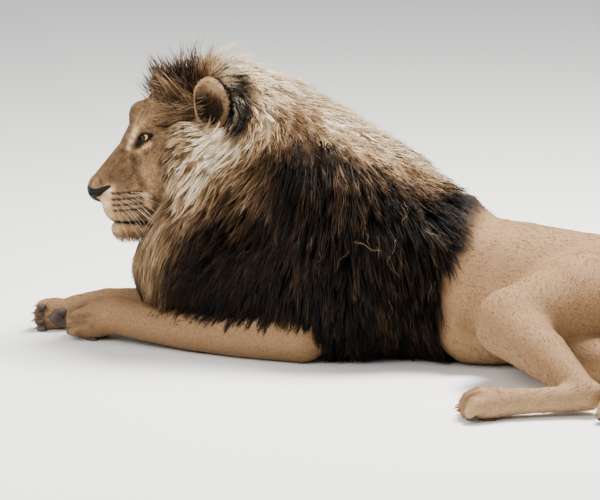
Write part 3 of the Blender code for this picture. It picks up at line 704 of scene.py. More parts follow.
def both(rows, frame):
    """The rows' places, directions and last values on both sides of a frame, in this scene."""
    origin, axes = frame
    mirror = np.array((1.0, -1.0, 1.0))
    found = []
    for row in rows:
        for side in (np.ones(3), mirror):
            place = origin + (np.array(row[0]) * side) @ axes
            found.append((place, unit(np.array(row[1]) * side) @ axes, row[-1]))
    return found


def chain_lie(stations):
    """Guides along a limb, from the body to its end."""
    stations = np.asarray(stations)[:, :3] + SHIFT
    return [((a + b) / 2, unit(b - a), 0.0) for a, b in zip(stations[:-1], stations[1:])]


def mane_guides():
    """All places that steer the mane."""
    return both(HEAD_MANE, HEAD) + both(BODY_MANE, WORLD)


def leg_chains():
    """The middle lines of the legs, from the body to the toes."""
    return (
        ((0.06, -0.182, 0.068), (-0.220, -0.158, 0.052), (-0.450, -0.105, 0.058), (-0.530, -0.09, 0.03)),
        ((-0.04, 0.158, 0.068), (-0.300, 0.090, 0.050), (-0.545, 0.002, 0.042), (-0.632, -0.06, 0.04)),
        ((0.86, -0.030, 0.170), (0.710, -0.155, 0.165), (0.588, -0.262, 0.148), (0.680, -0.385, 0.102),
         (0.812, -0.500, 0.048), (0.690, -0.545, 0.036), (0.560, -0.600, 0.03)),
        ((0.88, 0.000, 0.110), (0.680, -0.210, 0.070), (0.830, -0.270, 0.060), (0.975, -0.315, 0.046),
         (0.930, -0.430, 0.036), (0.880, -0.570, 0.03)),
    )


def lie_guides():
    """All places that steer the short coat."""
    guides = both([(*row, 0.0) for row in BODY_LIE], WORLD) + chain_lie(TAIL + TUFT[1:])
    for chain in leg_chains():
        guides += chain_lie(chain)
    return guides


def pull(points, guides, reach):
    """Each guide's weight at each point."""
    places = np.array([guide[0] for guide in guides])
    squared = ((points ** 2).sum(1)[:, None] + (places ** 2).sum(1)[None, :]
               - 2.0 * points @ places.T)
    return np.exp(-np.maximum(squared, 0.0) / (2.0 * reach * reach))


def mane_lie(points):
    """The direction in which the mane lies."""
    guides = mane_guides()
    weights = pull(points, guides, MANE_REACH) + 1e-9
    return unit(weights @ np.array([guide[1] for guide in guides]))


def short_lie(points, normals):
    """The direction in which the short coat lies, along the skin."""
    guides = lie_guides()
    weights = pull(points, guides, LIE_REACH) + 1e-9
    lie = unit(weights @ np.array([guide[1] for guide in guides]))
    local = in_head(points)
    on_head = step_up(0.34 - local[:, 0], 0.0, 0.06) * step_up(local[:, 2] + 0.17, 0.0, 0.05)
    from_nose = unit(local * (1.0, 1.2, 0.9) + (0.02, 0.0, 0.01)) @ HEAD[1]
    lie = lie * (1.0 - on_head[:, None]) + from_nose * on_head[:, None]
    lie -= normals * np.einsum("ij,ij->i", lie, normals)[:, None]
    return unit(lie)


def mane_tone(points):
    """The mane's tone, with its painted sunlight and shade, and how far a point is within the mane's
    markings.
    """
    guides = mane_guides()
    weights = pull(points, guides, MANE_REACH * 0.8) + 1e-12
    tones = np.array([guide[2] for guide in guides])
    total = weights.sum(1)
    streaks = mottling(points, 0.028, 0.075)
    return (weights @ tones) / total + streaks, np.clip(total * 12.0, 0.0, 1.0)


def marked_tone(points):
    """The tone of skin and coat anywhere on the animal, with painted shade and highlights on face, mane and
    toes.
    """
    tone = np.full(len(points), SHORT_TONE)
    written = as_written(points)
    low_down = step_up(0.10 - written[:, 2], 0.0, 0.10) * step_up(written[:, 0], 0.38, 0.50)
    tone += 0.10 * low_down
    tuft = step_up(-written[:, 1], 0.36, 0.42) * (written[:, 0] > 1.3)
    tone += (0.06 - tone) * tuft
    # painted shade in the gaps between the toes
    shade, breadth = PAINTED_TOE_SHADE
    between_toes = np.maximum(pressed(points, carved("toes")), 0.0)
    tone -= shade * np.exp(-(between_toes / breadth) ** 2)
    local = in_head(points)
    face = step_up(0.32 - local[:, 0], 0.0, 0.08) * step_up(local[:, 2] + 0.15, 0.0, 0.03)
    tone += (FACE_TONE - tone) * face
    tone += (mottling(points, 0.011, 0.07) + mottling(points, 0.0045, 0.07)) * face
    found, sure = mane_tone(points)
    behind_face = step_up(local[:, 0], 0.17, 0.24)
    mane = sure * np.where(face > 0.5, behind_face * 0.5, 1.0) * step_up(0.47 - written[:, 0], 0.0, 0.06)
    mane *= 1.0 - step_up(0.14 - written[:, 2], 0.0, 0.03) * (1.0 - step_up(leg_clay(points), 0.006, 0.015))
    tone += (found - tone) * mane
    here = folded(local)
    away = here[:, 1]
    # face marks, among them painted shade and painted highlights
    for place, radius, target, cover in FACE_MARKS:
        apart = (here - place) * (1.0, SIDEWAYS if place[1] > 0.0 else 1.0, 1.0)
        near = nearness(apart, radius) * cover * (away > place[1] * SIDEWAYS)
        tone += (target - tone) * near
    height, half = MOUTH_LINE
    lips = np.exp(-((local[:, 2] - height) / half) ** 2) * step_up(local[:, 0], 0.03, 0.05)
    lips *= step_up(0.165 - local[:, 0], 0.0, 0.01)
    tone += (BLACK_TONE - tone) * np.clip(lips * 1.3, 0.0, 1.0)
    for row, spot in np.ndindex(*WHISKERS):
        place = whisker_place(row, spot)
        spread = ((here[:, 0] - place[0]) / 0.0058) ** 2 + ((here[:, 2] - place[2]) / 0.0027) ** 2
        near = np.exp(-spread) * (away > 0.03) * 0.92
        tone += (0.06 - tone) * near
    tone += (BLACK_TONE - tone) * lid_rim(points)
    ear = (ears_clay(points) < 0.006) & (here[:, 2] > 0.165)
    hollow = ear_hollows(points)
    tone[ear] = EAR_BACK
    tone[ear & (hollow > 0.018) & (here[:, 0] > 0.300) & (here[:, 2] < 0.300)] = EAR_PATCH
    inside = ear & (hollow < 0.0030)
    tone[inside] = inner_ear_tone(here[inside])
    return tone


def folded(local):
    """Places on the head with its right side laid over the left."""
    return np.stack((local[:, 0], np.abs(local[:, 1]), local[:, 2]), axis=1)


def nearness(apart, radius):
    """One at a place, falling off round it."""
    return np.exp(-(apart ** 2).sum(1) / (2.0 * radius * radius))


def whisker_place(row, spot):
    """A whisker's root on the left of the head."""
    return WHISKER_ROWS + (WHISKER_STEP[0] * spot + ROW_STEP[0] * row, 0.0,
                           WHISKER_STEP[1] * spot + ROW_STEP[1] * row)


def inner_ear_tone(places):
    """The inside of the ear: dark below, pale above."""
    return 0.18 + 0.45 * step_up(places[:, 2], 0.215, 0.265)


def mottling(points, size, amount):
    """Smooth irregular patches of about one size, between minus and plus the amount."""
    rng = np.random.default_rng(5)
    found = np.zeros(len(points))
    for _ in range(MOTTLING_WAVES):
        way = unit(rng.normal(size=3)) * rng.uniform(0.7, 1.5) * 2.0 * math.pi / (size * 3.0)
        found += np.sin(points @ way + rng.uniform(0.0, 6.28) + 2.0 * np.sin(points @ np.roll(way, 1)))
    return found / 3.0 * amount


def lid_rim(points):
    """How far a point is on the black rim of an eye."""
    local = in_head(points)
    rim = np.zeros(len(points))
    half, tall = LID_OPENING
    for side in (1.0, -1.0):
        away = local * (1.0, side, 1.0) - EYE_SET
        along, up, out = away @ LID_LINE, away @ LID_UP, away @ LID_AXIS
        gap = np.abs(up) - tall * (1.0 - (along / half) ** 2)
        gap = np.where(np.abs(along) < half, gap, np.hypot(up, np.abs(along) - half))
        gap = np.where((out > 0.0) & (np.linalg.norm(away, axis=1) < 0.032), gap, FAR)
        above = np.where(up > 0.0, 0.0042, 0.0028)
        rim = np.maximum(rim, np.clip(1.6 - gap / above, 0.0, 1.0))
    return rim


BEHIND_EAR = ((0.355, 0.155, 0.185), (0.360, 0.155, 0.225), (0.355, 0.150, 0.262), (0.335, 0.150, 0.290))


def darken_behind_ears(points, tone):
    """The black patches of mane behind the ears."""
    local = in_head(points)
    here = folded(local)
    for place in BEHIND_EAR:
        near = nearness((here - place) * (1.0, SIDEWAYS, 1.0), BEHIND_EAR_SIZE) * (here[:, 1] > 0.07)
        tone = tone * (1.0 - np.clip(near * 1.6, 0.0, 1.0))
    return tone


def colour_of(tones):
    """The coat's colour for each tone."""
    tones = np.clip(tones, 0.0, 1.0)
    return np.stack([np.interp(tones, TONES, TONE_COLOURS[:, i]) for i in range(3)], axis=1)


# ---------------------------------------------------------------- the skin's clay

FACE_DEPTH = 0.0015
SHORT_DEPTH = 0.0045                    # the skin lies this far inside the solids
MANE_DEPTH = 0.042
EAR_DEPTH = 0.0015
LID = 0.0024                            # thickness of an eyelid
BALL = 0.0188                           # radius of the seen eyeball
LID_OPENING = (0.0200, 0.0064)          # half its length and half its height
LID_AXIS = unit(np.array((-0.60, 0.79, 0.06)))
LID_LINE = np.array((0.76, 0.57, 0.31))
LID_LINE = unit(LID_LINE - LID_AXIS * (LID_LINE @ LID_AXIS))
LID_UP = np.cross(LID_LINE, LID_AXIS)
LID_UP = LID_UP * np.sign(LID_UP[2])
EYE_SET = np.array((0.1500, 0.0465, 0.1250))


def head_skin_forms():
    """The forms under the skin of the head."""
    return head_forms() + jaw_forms()


def face_hollows():
    """Nostrils, mouth line, lip groove and the folds of the face, as narrow hollows."""
    hollows = [
        limb([(0.000, 0.0, -0.030, 0.0022), (0.020, 0.0, -0.052, 0.0030),
              (0.042, 0.0, -0.078, 0.0040)], blend=0.006, frame=HEAD),               # lip groove
        limb([(0.052, -0.012, -0.0815, 0.003), (0.052, 0.012, -0.0815, 0.003)], blend=0.004,
             frame=HEAD),
    ]
    hollows += both_sides(limb, [(0.052, 0.012, -0.0815, 0.0030), (0.075, 0.036, -0.0815, 0.0036),
                                 (0.110, 0.056, -0.0815, 0.0036), (0.150, 0.080, -0.0790, 0.0032)],
                          blend=0.004, frame=HEAD)                                   # mouth
    hollows += both_sides(limb, [(0.002, 0.013, -0.016, 0.0042), (0.009, 0.022, -0.014, 0.0064),
                                 (0.022, 0.034, -0.008, 0.0050), (0.040, 0.040, 0.000, 0.0026)],
                          blend=0.003, frame=HEAD)                                   # nostrils
    hollows += both_sides(limb, [(0.100, 0.058, 0.080, 0.0026), (0.112, 0.072, 0.040, 0.0040),
                                 (0.124, 0.080, 0.012, 0.0044), (0.140, 0.088, -0.012, 0.0040)],
                          blend=0.012, frame=HEAD)                                   # cheek folds
    hollows += both_sides(limb, [(0.136, 0.085, 0.040, 0.0030), (0.156, 0.100, 0.012, 0.0040),
                                 (0.176, 0.112, 0.000, 0.0034)], blend=0.014, frame=HEAD)
    return hollows


def ear_hollows(points):
    """The distance from the nearer ear's hollow."""
    return np.minimum(pressed(points, ear_hollow(1)), pressed(points, ear_hollow(-1)))


def ears_clay(points):
    """Both ears' skin."""
    field = np.full(len(points), FAR)
    for side in (1, -1):
        field = np.minimum(field, pressed(points, ear_forms(side), ear_hollow(side)))
    return field + EAR_DEPTH


def lids(points, field):
    """Eyelids over the eyeballs, an opening between them, and the sockets."""
    local = in_head(points)
    for side in (1.0, -1.0):
        away = local * (1.0, side, 1.0) - EYE_SET
        near = np.linalg.norm(away, axis=1)
        along, up, out = away @ LID_LINE, away @ LID_UP, away @ LID_AXIS
        close = near < 0.06
        skin = smooth_union(field, near - (BALL + LID), 0.012)
        half, tall = LID_OPENING
        opening = (np.abs(up) - tall * (1.0 - (along / half) ** 2)) * 0.7
        opening = np.maximum(opening, 0.004 - out)
        skin = smooth_cut(skin, opening, 0.0015)
        skin = np.maximum(skin, (BALL + 0.0003) - near)
        field = np.where(close, skin, field)
    return field


def head_clay(points):
    """The skin of the head."""
    depth = FACE_DEPTH + (SHORT_DEPTH - FACE_DEPTH) * step_up(in_head(points)[:, 0], 0.16, 0.24)
    field = pressed(points, head_skin_forms(), head_hollows()) + depth
    field = pressed_over(points, field, face_hollows())
    field = smooth_union(field, ears_clay(points), 0.008)
    return lids(points, field)


def pressed_over(points, field, hollows):
    """A field with narrow hollows pressed into it."""
    for form in hollows:
        origin, axes = form["frame"]
        local = (points - origin) @ axes.T
        reach = form["blend"] + 0.01
        inside = np.all((local > form["low"] - reach) & (local < form["high"] + reach), axis=1)
        field[inside] = smooth_cut(field[inside], form["distance"](local[inside]), form["blend"])
    return field


def leg_clay(points):
    """The outline of the four legs."""
    field = np.full(len(points), FAR)
    for side in (1, -1):
        for forms in (foreleg_forms(side), hindleg_forms(side)):
            field = np.minimum(field, pressed(points, forms))
    return field


def settled(lines, clay, radius, depth, blend):
    """Long hollows of a radius, pressed so deep into a clay along the lines' places."""
    hollows = []
    for line in lines:
        places, out = settle(np.array(line) + SHIFT, clay)
        places = places + out * (radius - depth)
        sizes = radius * (1.0 - 0.35 * np.abs(np.linspace(-1.0, 1.0, len(line))) ** 3)
        hollows.append(limb([(*place, size) for place, size in zip(places, sizes)], blend, SCENE))
    return hollows


def toe_grooves():
    """The hollows between the toes of all four paws."""
    lines = [((-0.545, -0.150, 0.068), (-0.515, -0.165, 0.073), (-0.470, -0.165, 0.077)),
             ((-0.548, -0.150, 0.040), (-0.520, -0.165, 0.046), (-0.478, -0.165, 0.050))]
    rolled = []
    for gap in range(3):
        out = -0.1235 + 0.031 * gap
        lines.append(((-0.556, out, 0.026), (-0.550, out, 0.055), (-0.528, out, 0.080),
                      (-0.490, out, 0.098)))
        up = 0.0153 + 0.0185 * gap
        rolled.append(((-0.600, -0.066, up), (-0.630, -0.078, up), (-0.650, -0.060, up)))
    for middle, ahead, _, spread in paw_frames()[2:]:
        ahead = np.array(ahead[:2])
        aside = np.array((-ahead[1], ahead[0])) * spread
        for gap in range(3):
            root = np.array(middle[:2]) + aside * (gap - 1.0)
            lines.append([(*(root + ahead * reach), up) for reach, up in
                          ((0.070, 0.014), (0.064, 0.034), (0.048, 0.058), (0.015, 0.078))])
    return (settled(lines, pad_ground, 0.0070, 0.0065, 0.006)
            + settled(rolled, pad_ground, 0.0040, 0.0030, 0.004))


def muscle_hollows():
    """Shallow hollows beside the spine and in the flanks."""
    lines = (((0.50, 0.080, 0.30), (0.66, 0.100, 0.27), (0.82, 0.115, 0.24), (0.93, 0.110, 0.20)),
             ((0.50, 0.165, 0.20), (0.66, 0.165, 0.16), (0.82, 0.175, 0.13), (0.93, 0.150, 0.12)),
             ((0.50, -0.120, 0.28), (0.49, -0.170, 0.20), (0.48, -0.180, 0.10)),
             ((0.53, 0.150, 0.22), (0.52, 0.170, 0.14), (0.51, 0.170, 0.07)))
    trunk = body_forms() + hindquarter_forms()
    return settled(lines, lambda points: pressed(points, trunk), 0.045, 0.011, 0.03)


def carved(kind):
    """The body's hollows of a kind, settled onto it once."""
    if kind not in FIELDS:
        FIELDS[kind] = {"toes": toe_grooves, "muscles": muscle_hollows}[kind]()
    return FIELDS[kind]


def body_clay(points):
    """The skin of body, legs and tail."""
    written = as_written(points)
    depth = SHORT_DEPTH + (MANE_DEPTH - SHORT_DEPTH) * step_up(0.44 - written[:, 0], 0.0, 0.10)
    field = pressed(points, body_forms() + hindquarter_forms()) + depth
    field = pressed_over(points, field, carved("muscles"))
    field = smooth_union(field, leg_clay(points) + SHORT_DEPTH, 0.030)
    field = pressed_over(points, field, carved("toes"))
    tail_depth = SHORT_DEPTH * 0.7 + 0.009 * step_up(-written[:, 1], 0.36, 0.42) * (written[:, 0] > 1.3)
    field = smooth_union(field, pressed(points, tail_forms()) + tail_depth, 0.015)
    return np.maximum(field, 0.0006 - points[:, 2])


def outer_forms():
    """All forms out to the tips of the coat."""
    forms = body_forms() + hindquarter_forms() + head_forms() + jaw_forms() + crown_forms()
    for side in (1, -1):
        forms += ear_forms(side) + foreleg_forms(side) + hindleg_forms(side)
    return forms + tail_forms()


BOX_LOW, BOX_HIGH = np.array(CAD_BOX[0]), np.array(CAD_BOX[1])
FIELDS = {}                             # fields and hollows that are made once


def outer_field():
    """The field of the solids' outer shape, where the coat ends."""
    if "outer" not in FIELDS:
        FIELDS["outer"] = Field(lambda points: pressed(points, outer_forms()), BOX_LOW - 0.06,
                                BOX_HIGH + 0.06, 0.008, iso=-0.01)
    return FIELDS["outer"]


# ---------------------------------------------------------------- materials

def new_material(name, values):
    """A material with values set on its shader's own sockets; also the shader, nodes and links."""
    material = bpy.data.materials.new(name)
    material.use_nodes = True
    nodes = material.node_tree.nodes
    shader = nodes["Principled BSDF"]
    for socket, value in values.items():
        shader.inputs[socket].default_value = value
    return material, shader, nodes, material.node_tree.links


def noise_node(nodes, links, size, **values):
    """Noise of a size on the object's own coordinates."""
    place = nodes.new("ShaderNodeTexCoord")
    noise = nodes.new("ShaderNodeTexNoise")
    noise.inputs["Scale"].default_value = size
    for socket, value in values.items():
        noise.inputs[socket].default_value = value
    links.new(place.outputs["Object"], noise.inputs["Vector"])
    return noise, place


def add_bump(nodes, links, shader, height, strength, distance):
    """Raise a shader's surface by a height."""
    bump = nodes.new("ShaderNodeBump")
    bump.inputs["Strength"].default_value = strength
    bump.inputs["Distance"].default_value = distance
    links.new(height, bump.inputs["Height"])
    links.new(bump.outputs["Normal"], shader.inputs["Normal"])


def hair_material(name, roughness, speckle, bump_size, bump):
    """Hair or hide whose colour is the stored coat colour, broken up by fine noise and bump."""
    values = {"Roughness": roughness, "Specular IOR Level": 0.25}
    material, shader, nodes, links = new_material(name, values)
    colour = nodes.new("ShaderNodeVertexColor")
    colour.layer_name = COLOUR_LAYER
    noise, _ = noise_node(nodes, links, bump_size, Detail=4.0)
    ramp = nodes.new("ShaderNodeMapRange")
    ramp.inputs["From Min"].default_value = 0.3
    ramp.inputs["From Max"].default_value = 0.7
    ramp.inputs["To Min"].default_value = 1.0 - speckle
    ramp.inputs["To Max"].default_value = 1.0 + speckle
    links.new(noise.outputs["Fac"], ramp.inputs["Value"])
    mix = nodes.new("ShaderNodeVectorMath")
    mix.operation = "SCALE"
    links.new(colour.outputs["Color"], mix.inputs[0])
    links.new(ramp.outputs["Result"], mix.inputs["Scale"])
    links.new(mix.outputs["Vector"], shader.inputs["Base Color"])
    add_bump(nodes, links, shader, noise.outputs["Fac"], bump, 0.002)
    return material


def plain_material(name, colour, roughness, pebble, bump):
    """Leather, horn or gristle: one colour, mottled, with fine pebbles."""
    values = {"Roughness": roughness, "Specular IOR Level": 0.3}
    material, shader, nodes, links = new_material(name, values)
    noise, place = noise_node(nodes, links, 60.0)
    cells = nodes.new("ShaderNodeTexVoronoi")
    cells.inputs["Scale"].default_value = pebble
    links.new(place.outputs["Object"], cells.inputs["Vector"])
    ramp = nodes.new("ShaderNodeValToRGB")
    ramp.color_ramp.elements[0].position = 0.3
    ramp.color_ramp.elements[1].position = 0.75
    ramp.color_ramp.elements[0].color = (*[value * 0.6 for value in colour], 1.0)
    ramp.color_ramp.elements[1].color = (*[value * 1.3 for value in colour], 1.0)
    links.new(noise.outputs["Fac"], ramp.inputs["Fac"])
    links.new(ramp.outputs["Color"], shader.inputs["Base Color"])
    add_bump(nodes, links, shader, cells.outputs["Distance"], bump, 0.001)
    return material


def eye_line(side):
    """The middle of an eyeball, and the way it looks."""
    mirror = (1.0, side, 1.0)
    return HEAD[0] + (EYE_SET * mirror) @ HEAD[1], (GAZE * mirror) @ HEAD[1]


def eye_material(side):
    """Pupil, iris, its dark rim and the brown white of the eye, round the line of sight."""
    values = {"Roughness": 0.16, "Specular IOR Level": 0.25, "Coat Weight": 0.1,
              "Coat Roughness": 0.05}
    material, shader, nodes, links = new_material("lion_eye", values)
    place = nodes.new("ShaderNodeTexCoord")
    centre, sight = eye_line(side)
    away = nodes.new("ShaderNodeVectorMath")
    away.operation = "SUBTRACT"
    away.inputs[1].default_value = tuple(centre)
    links.new(place.outputs["Object"], away.inputs[0])
    dot = nodes.new("ShaderNodeVectorMath")
    dot.operation = "DOT_PRODUCT"
    dot.inputs[1].default_value = tuple(sight)
    links.new(away.outputs["Vector"], dot.inputs[0])
    share = nodes.new("ShaderNodeMath")
    share.operation = "DIVIDE"
    share.inputs[1].default_value = BALL
    links.new(dot.outputs["Value"], share.inputs[0])
    ramp = nodes.new("ShaderNodeValToRGB")
    stops = ((0.0, (0.05, 0.03, 0.02)), (0.74, (0.03, 0.018, 0.010)), (0.775, (0.10, 0.045, 0.010)),
             (0.82, (0.52, 0.30, 0.07)), (0.95, (0.62, 0.40, 0.12)), (0.970, (0.25, 0.13, 0.03)),
             (0.978, (0.004, 0.003, 0.002)))
    while len(ramp.color_ramp.elements) < len(stops):
        ramp.color_ramp.elements.new(0.5)
    for element, (position, colour) in zip(ramp.color_ramp.elements, stops):
        element.position = position
        element.color = (*colour, 1.0)
    links.new(share.outputs["Value"], ramp.inputs["Fac"])
    links.new(ramp.outputs["Color"], shader.inputs["Base Color"])
    return material


# ---------------------------------------------------------------- the skin

GAZE = unit(np.array((-0.72, 0.69, 0.02)))
CORNEA = 0.0012                         # how far the cornea stands out
CORNEA_EDGE, CORNEA_SPAN = 0.80, 0.20   # where it starts and how far it goes on, as shares of the ball
FLESH = ("head", "jaw", "ear_left", "ear_right", "mane_crown", "neck", "chest", "shoulder_left",
         "shoulder_right", "trunk", "hindquarters", "foreleg_left_forearm", "foreleg_left_paw",
         "foreleg_right_forearm", "foreleg_right_paw", "hindleg_left_thigh", "hindleg_left_shank",
         "hindleg_left_foot", "hindleg_right_thigh", "hindleg_right_shank", "hindleg_right_foot",
         "tail_base", "tail_middle", "tail_end", "tail_tuft")


def head_box():
    """The box of the head's solids, with a margin."""
    low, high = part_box("head")
    low, high = np.array(low), np.array(high)
    for node in ("jaw", "ear_left", "ear_right"):
        first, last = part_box(node)
        low, high = np.minimum(low, first), np.maximum(high, last)
    return low - 0.012, high + 0.012


def make_skin(head_grain, body_grain, budget):
    """Head and body as one skin mesh."""
    shells = []
    for name, clay, low, high, grain, share in (
            ("head_shell", head_clay, *head_box(), head_grain, 0.5),
            ("body_shell", body_clay, BOX_LOW - 0.03, BOX_HIGH + 0.03, body_grain, 0.5)):
        points, quads = Field(clay, low, high, grain).surface()
        shell = mesh_object(name, points, quads)
        ratio = budget * share / (2.0 * len(quads))
        if ratio < 1.0:
            finish_with(shell, "DECIMATE", ratio=ratio)
        shells.append(shell)
    skin = joined(shells, "skin")
    choose(skin)
    bpy.ops.object.shade_smooth()
    store_colours(skin.data, colour_of(marked_tone(mesh_points(skin.data))))
    skin.data.materials.append(hair_material("short_coat_skin", 0.75, 0.35, 420.0, 0.5))
    return skin


# ---------------------------------------------------------------- tufts and locks

ATLAS_SPAN = 2.4                        # metres of skin across one chart of the coat's unwrap
TUFT_PATCH = 0.003                      # how wide a tuft's patch is on the unwrap
TUFT_ROOT = 0.0012                      # a short tuft starts this far inside the skin
HAIR_FLOOR = 0.0008                     # hair keeps this far over the floor
LOCK_FLOOR = 0.004                      # and the middle of a lock this far
OVER_LEG = 0.004                        # locks this near a leg grow in shorter steps
OVER_LEG_STEP = 0.45                    # which are this share of the usual ones
IN_LEG = 0.0025                         # a lock may dip this far into a leg's outline
WAVE = 0.0018                           # sideways wave of a strand
FINE_WIDTH = 0.0010                     # width of a hair of chin and ears
WISP_WIDTH = 0.0006
WISPS = 60                              # places with stray wisps, two hairs each
CLUMP_NOISE = 0.07                      # unevenness of tone from clump to clump


def unwrap(points, normals):
    """A box unwrap of the animal's own shape: six charts side by side."""
    axis = np.abs(normals).argmax(axis=1)
    positive = normals[np.arange(len(points)), axis] > 0.0
    chart = axis * 2 + positive
    first = np.where(axis == 0, points[:, 1], points[:, 0])
    second = np.where(axis == 2, points[:, 1], points[:, 2])
    u = (chart % 3 + 0.5 + first / ATLAS_SPAN) / 3.0
    v = (chart // 3 + 0.5 + (second - 0.2) / ATLAS_SPAN) / 2.0
    return np.stack((u, v), axis=1)


def turnings(corners):
    """A vector square to each triangle, as long as twice its area."""
    return np.cross(corners[:, 1] - corners[:, 0], corners[:, 2] - corners[:, 0])


def sow(points, faces, count, rng, wanted):
    """Roots spread evenly over the wanted triangles, and the outward direction at each."""
    corners = points[faces]
    areas = np.linalg.norm(turnings(corners), axis=1) * wanted
    chosen = rng.choice(len(faces), size=count, p=areas / areas.sum())
    a, b = rng.random(count), rng.random(count)
    over = a + b > 1.0
    a[over], b[over] = 1.0 - a[over], 1.0 - b[over]
    corners = corners[chosen]
    roots = corners[:, 0] + (corners[:, 1] - corners[:, 0]) * a[:, None]
    roots += (corners[:, 2] - corners[:, 0]) * b[:, None]
    return roots, unit(turnings(corners))


def sheaths(name, paths, normals, widths, tones, roots_at, rng, profile, thin=0.55,
            shading=(-0.10, 0.06)):
    """Closed tapered three-sided hairs along paths, with colours that carry painted shade at the root and
    painted light at the tip, and the OFBake patches.
    """
    count, rings = paths.shape[0], paths.shape[1] - 1
    along = np.empty_like(paths)
    along[:, 1:-1] = paths[:, 2:] - paths[:, :-2]
    along[:, 0] = paths[:, 1] - paths[:, 0]
    along[:, -1] = paths[:, -1] - paths[:, -2]
    along = unit(along)
    across = unit(np.cross(along, normals[:, None, :]))
    up = np.cross(across, along)
    turn = rng.uniform(0.0, 2.0 * math.pi, count)[:, None]
    points = np.empty((count, rings * 3 + 1, 3))
    for corner in range(3):
        angle = turn * 0.12 + corner * 2.0 * math.pi / 3.0
        for ring in range(rings):
            radius = (widths * profile[ring] * 0.5)[:, None]
            points[:, ring * 3 + corner] = (paths[:, ring] + across[:, ring] * radius * np.cos(angle)
                                            + up[:, ring] * radius * thin * np.sin(angle))
    points[:, -1] = paths[:, -1]
    points[..., 2] = np.maximum(points[..., 2], HAIR_FLOOR)
    one = []
    for ring in range(rings - 1):
        for corner in range(3):
            a, b = ring * 3 + corner, ring * 3 + (corner + 1) % 3
            one += [(a, b, b + 3), (a, b + 3, a + 3)]
    last = (rings - 1) * 3
    one += [(last, last + 1, rings * 3), (last + 1, last + 2, rings * 3), (last + 2, last, rings * 3)]
    one.append((0, 2, 1))
    one = np.array(one)
    per = rings * 3 + 1
    faces = (one[None] + (np.arange(count) * per)[:, None, None]).reshape(-1, 3)
    # painted shade: each hair darker towards its root, deep in the coat, and lighter towards its tip
    shade = np.linspace(*shading, rings + 1)
    levels = np.repeat(np.arange(rings), 3).tolist() + [rings]
    tone = tones[:, None] + shade[np.array(levels)][None]
    spots = unwrap(roots_at, normals)
    patch = np.array([(level / rings, (index % 3) / 2.0) for index, level in enumerate(levels)])
    uvs = spots[:, None, :] + patch[None] * TUFT_PATCH
    return mesh_object(name, points.reshape(-1, 3), faces, colour_of(tone.ravel()), uvs.reshape(-1, 2))


def short_tufts(name, roots, normals, lengths, widths, tones, rng, lift, mess):
    """Small flat tufts that lie along the skin."""
    lie = short_lie(roots, normals)
    side = np.cross(normals, lie)
    lie = unit(lie + side * rng.normal(0.0, mess, len(roots))[:, None])
    rise = (lift * rng.uniform(0.5, 1.5, len(roots)))[:, None]
    paths = np.empty((len(roots), 3, 3))
    length = lengths[:, None]
    paths[:, 0] = roots - normals * TUFT_ROOT
    paths[:, 1] = roots + lie * length * 0.5 + normals * length * rise * 0.75
    paths[:, 2] = roots + lie * length + normals * length * rise * 0.8
    return sheaths(name, paths, normals, widths, tones, roots, rng, (0.9, 0.8), thin=0.5,
                   shading=(0.005, 0.04))


def grow(roots, lengths, stand, rise, rng, rings, wander):
    """Locks' middle lines, from their roots out towards the solids' surface and along the lie."""
    field = outer_field()
    paths = np.empty((len(roots), rings + 1, 3))
    paths[:, 0] = roots
    place = roots.copy()
    value, slope = field.sample(place)
    deep = np.minimum(value, -0.002)
    heading = None
    drift = rng.normal(0.0, 1.0, (len(roots), 3)) * wander
    for ring in range(1, rings + 1):
        t = ring / rings
        value, slope = field.sample(place)
        out = unit(slope)
        lie = mane_lie(place) + drift + rng.normal(0.0, 0.35, (len(roots), 3)) * wander
        flat = unit(lie - out * np.einsum("ij,ij->i", lie, out)[:, None])
        mixed = unit(lie * stand[:, None] + flat * (1.0 - stand[:, None]))
        step = (lengths / rings * np.where(leg_clay(place) < OVER_LEG, OVER_LEG_STEP, 1.0))[:, None]
        goal = deep * (1.0 - t) ** 1.3 + rise * t
        climb = np.clip((goal - value)[:, None] / step, -0.9, 0.9) * (1.0 - 0.8 * stand[:, None])
        wanted = unit(mixed + out * climb)
        heading = wanted if heading is None else unit(wanted * 0.7 + heading * 0.3)
        place = place + heading * step
        under = -IN_LEG - leg_clay(place)
        place = place + out * np.clip(under, 0.0, 0.03)[:, None]
        place[:, 2] = np.maximum(place[:, 2], LOCK_FLOOR)
        paths[:, ring] = place
    return paths, unit(slope)


def clump_tone(points):
    """The tone of a clump of mane hair."""
    return darken_behind_ears(points, mane_tone(points)[0])


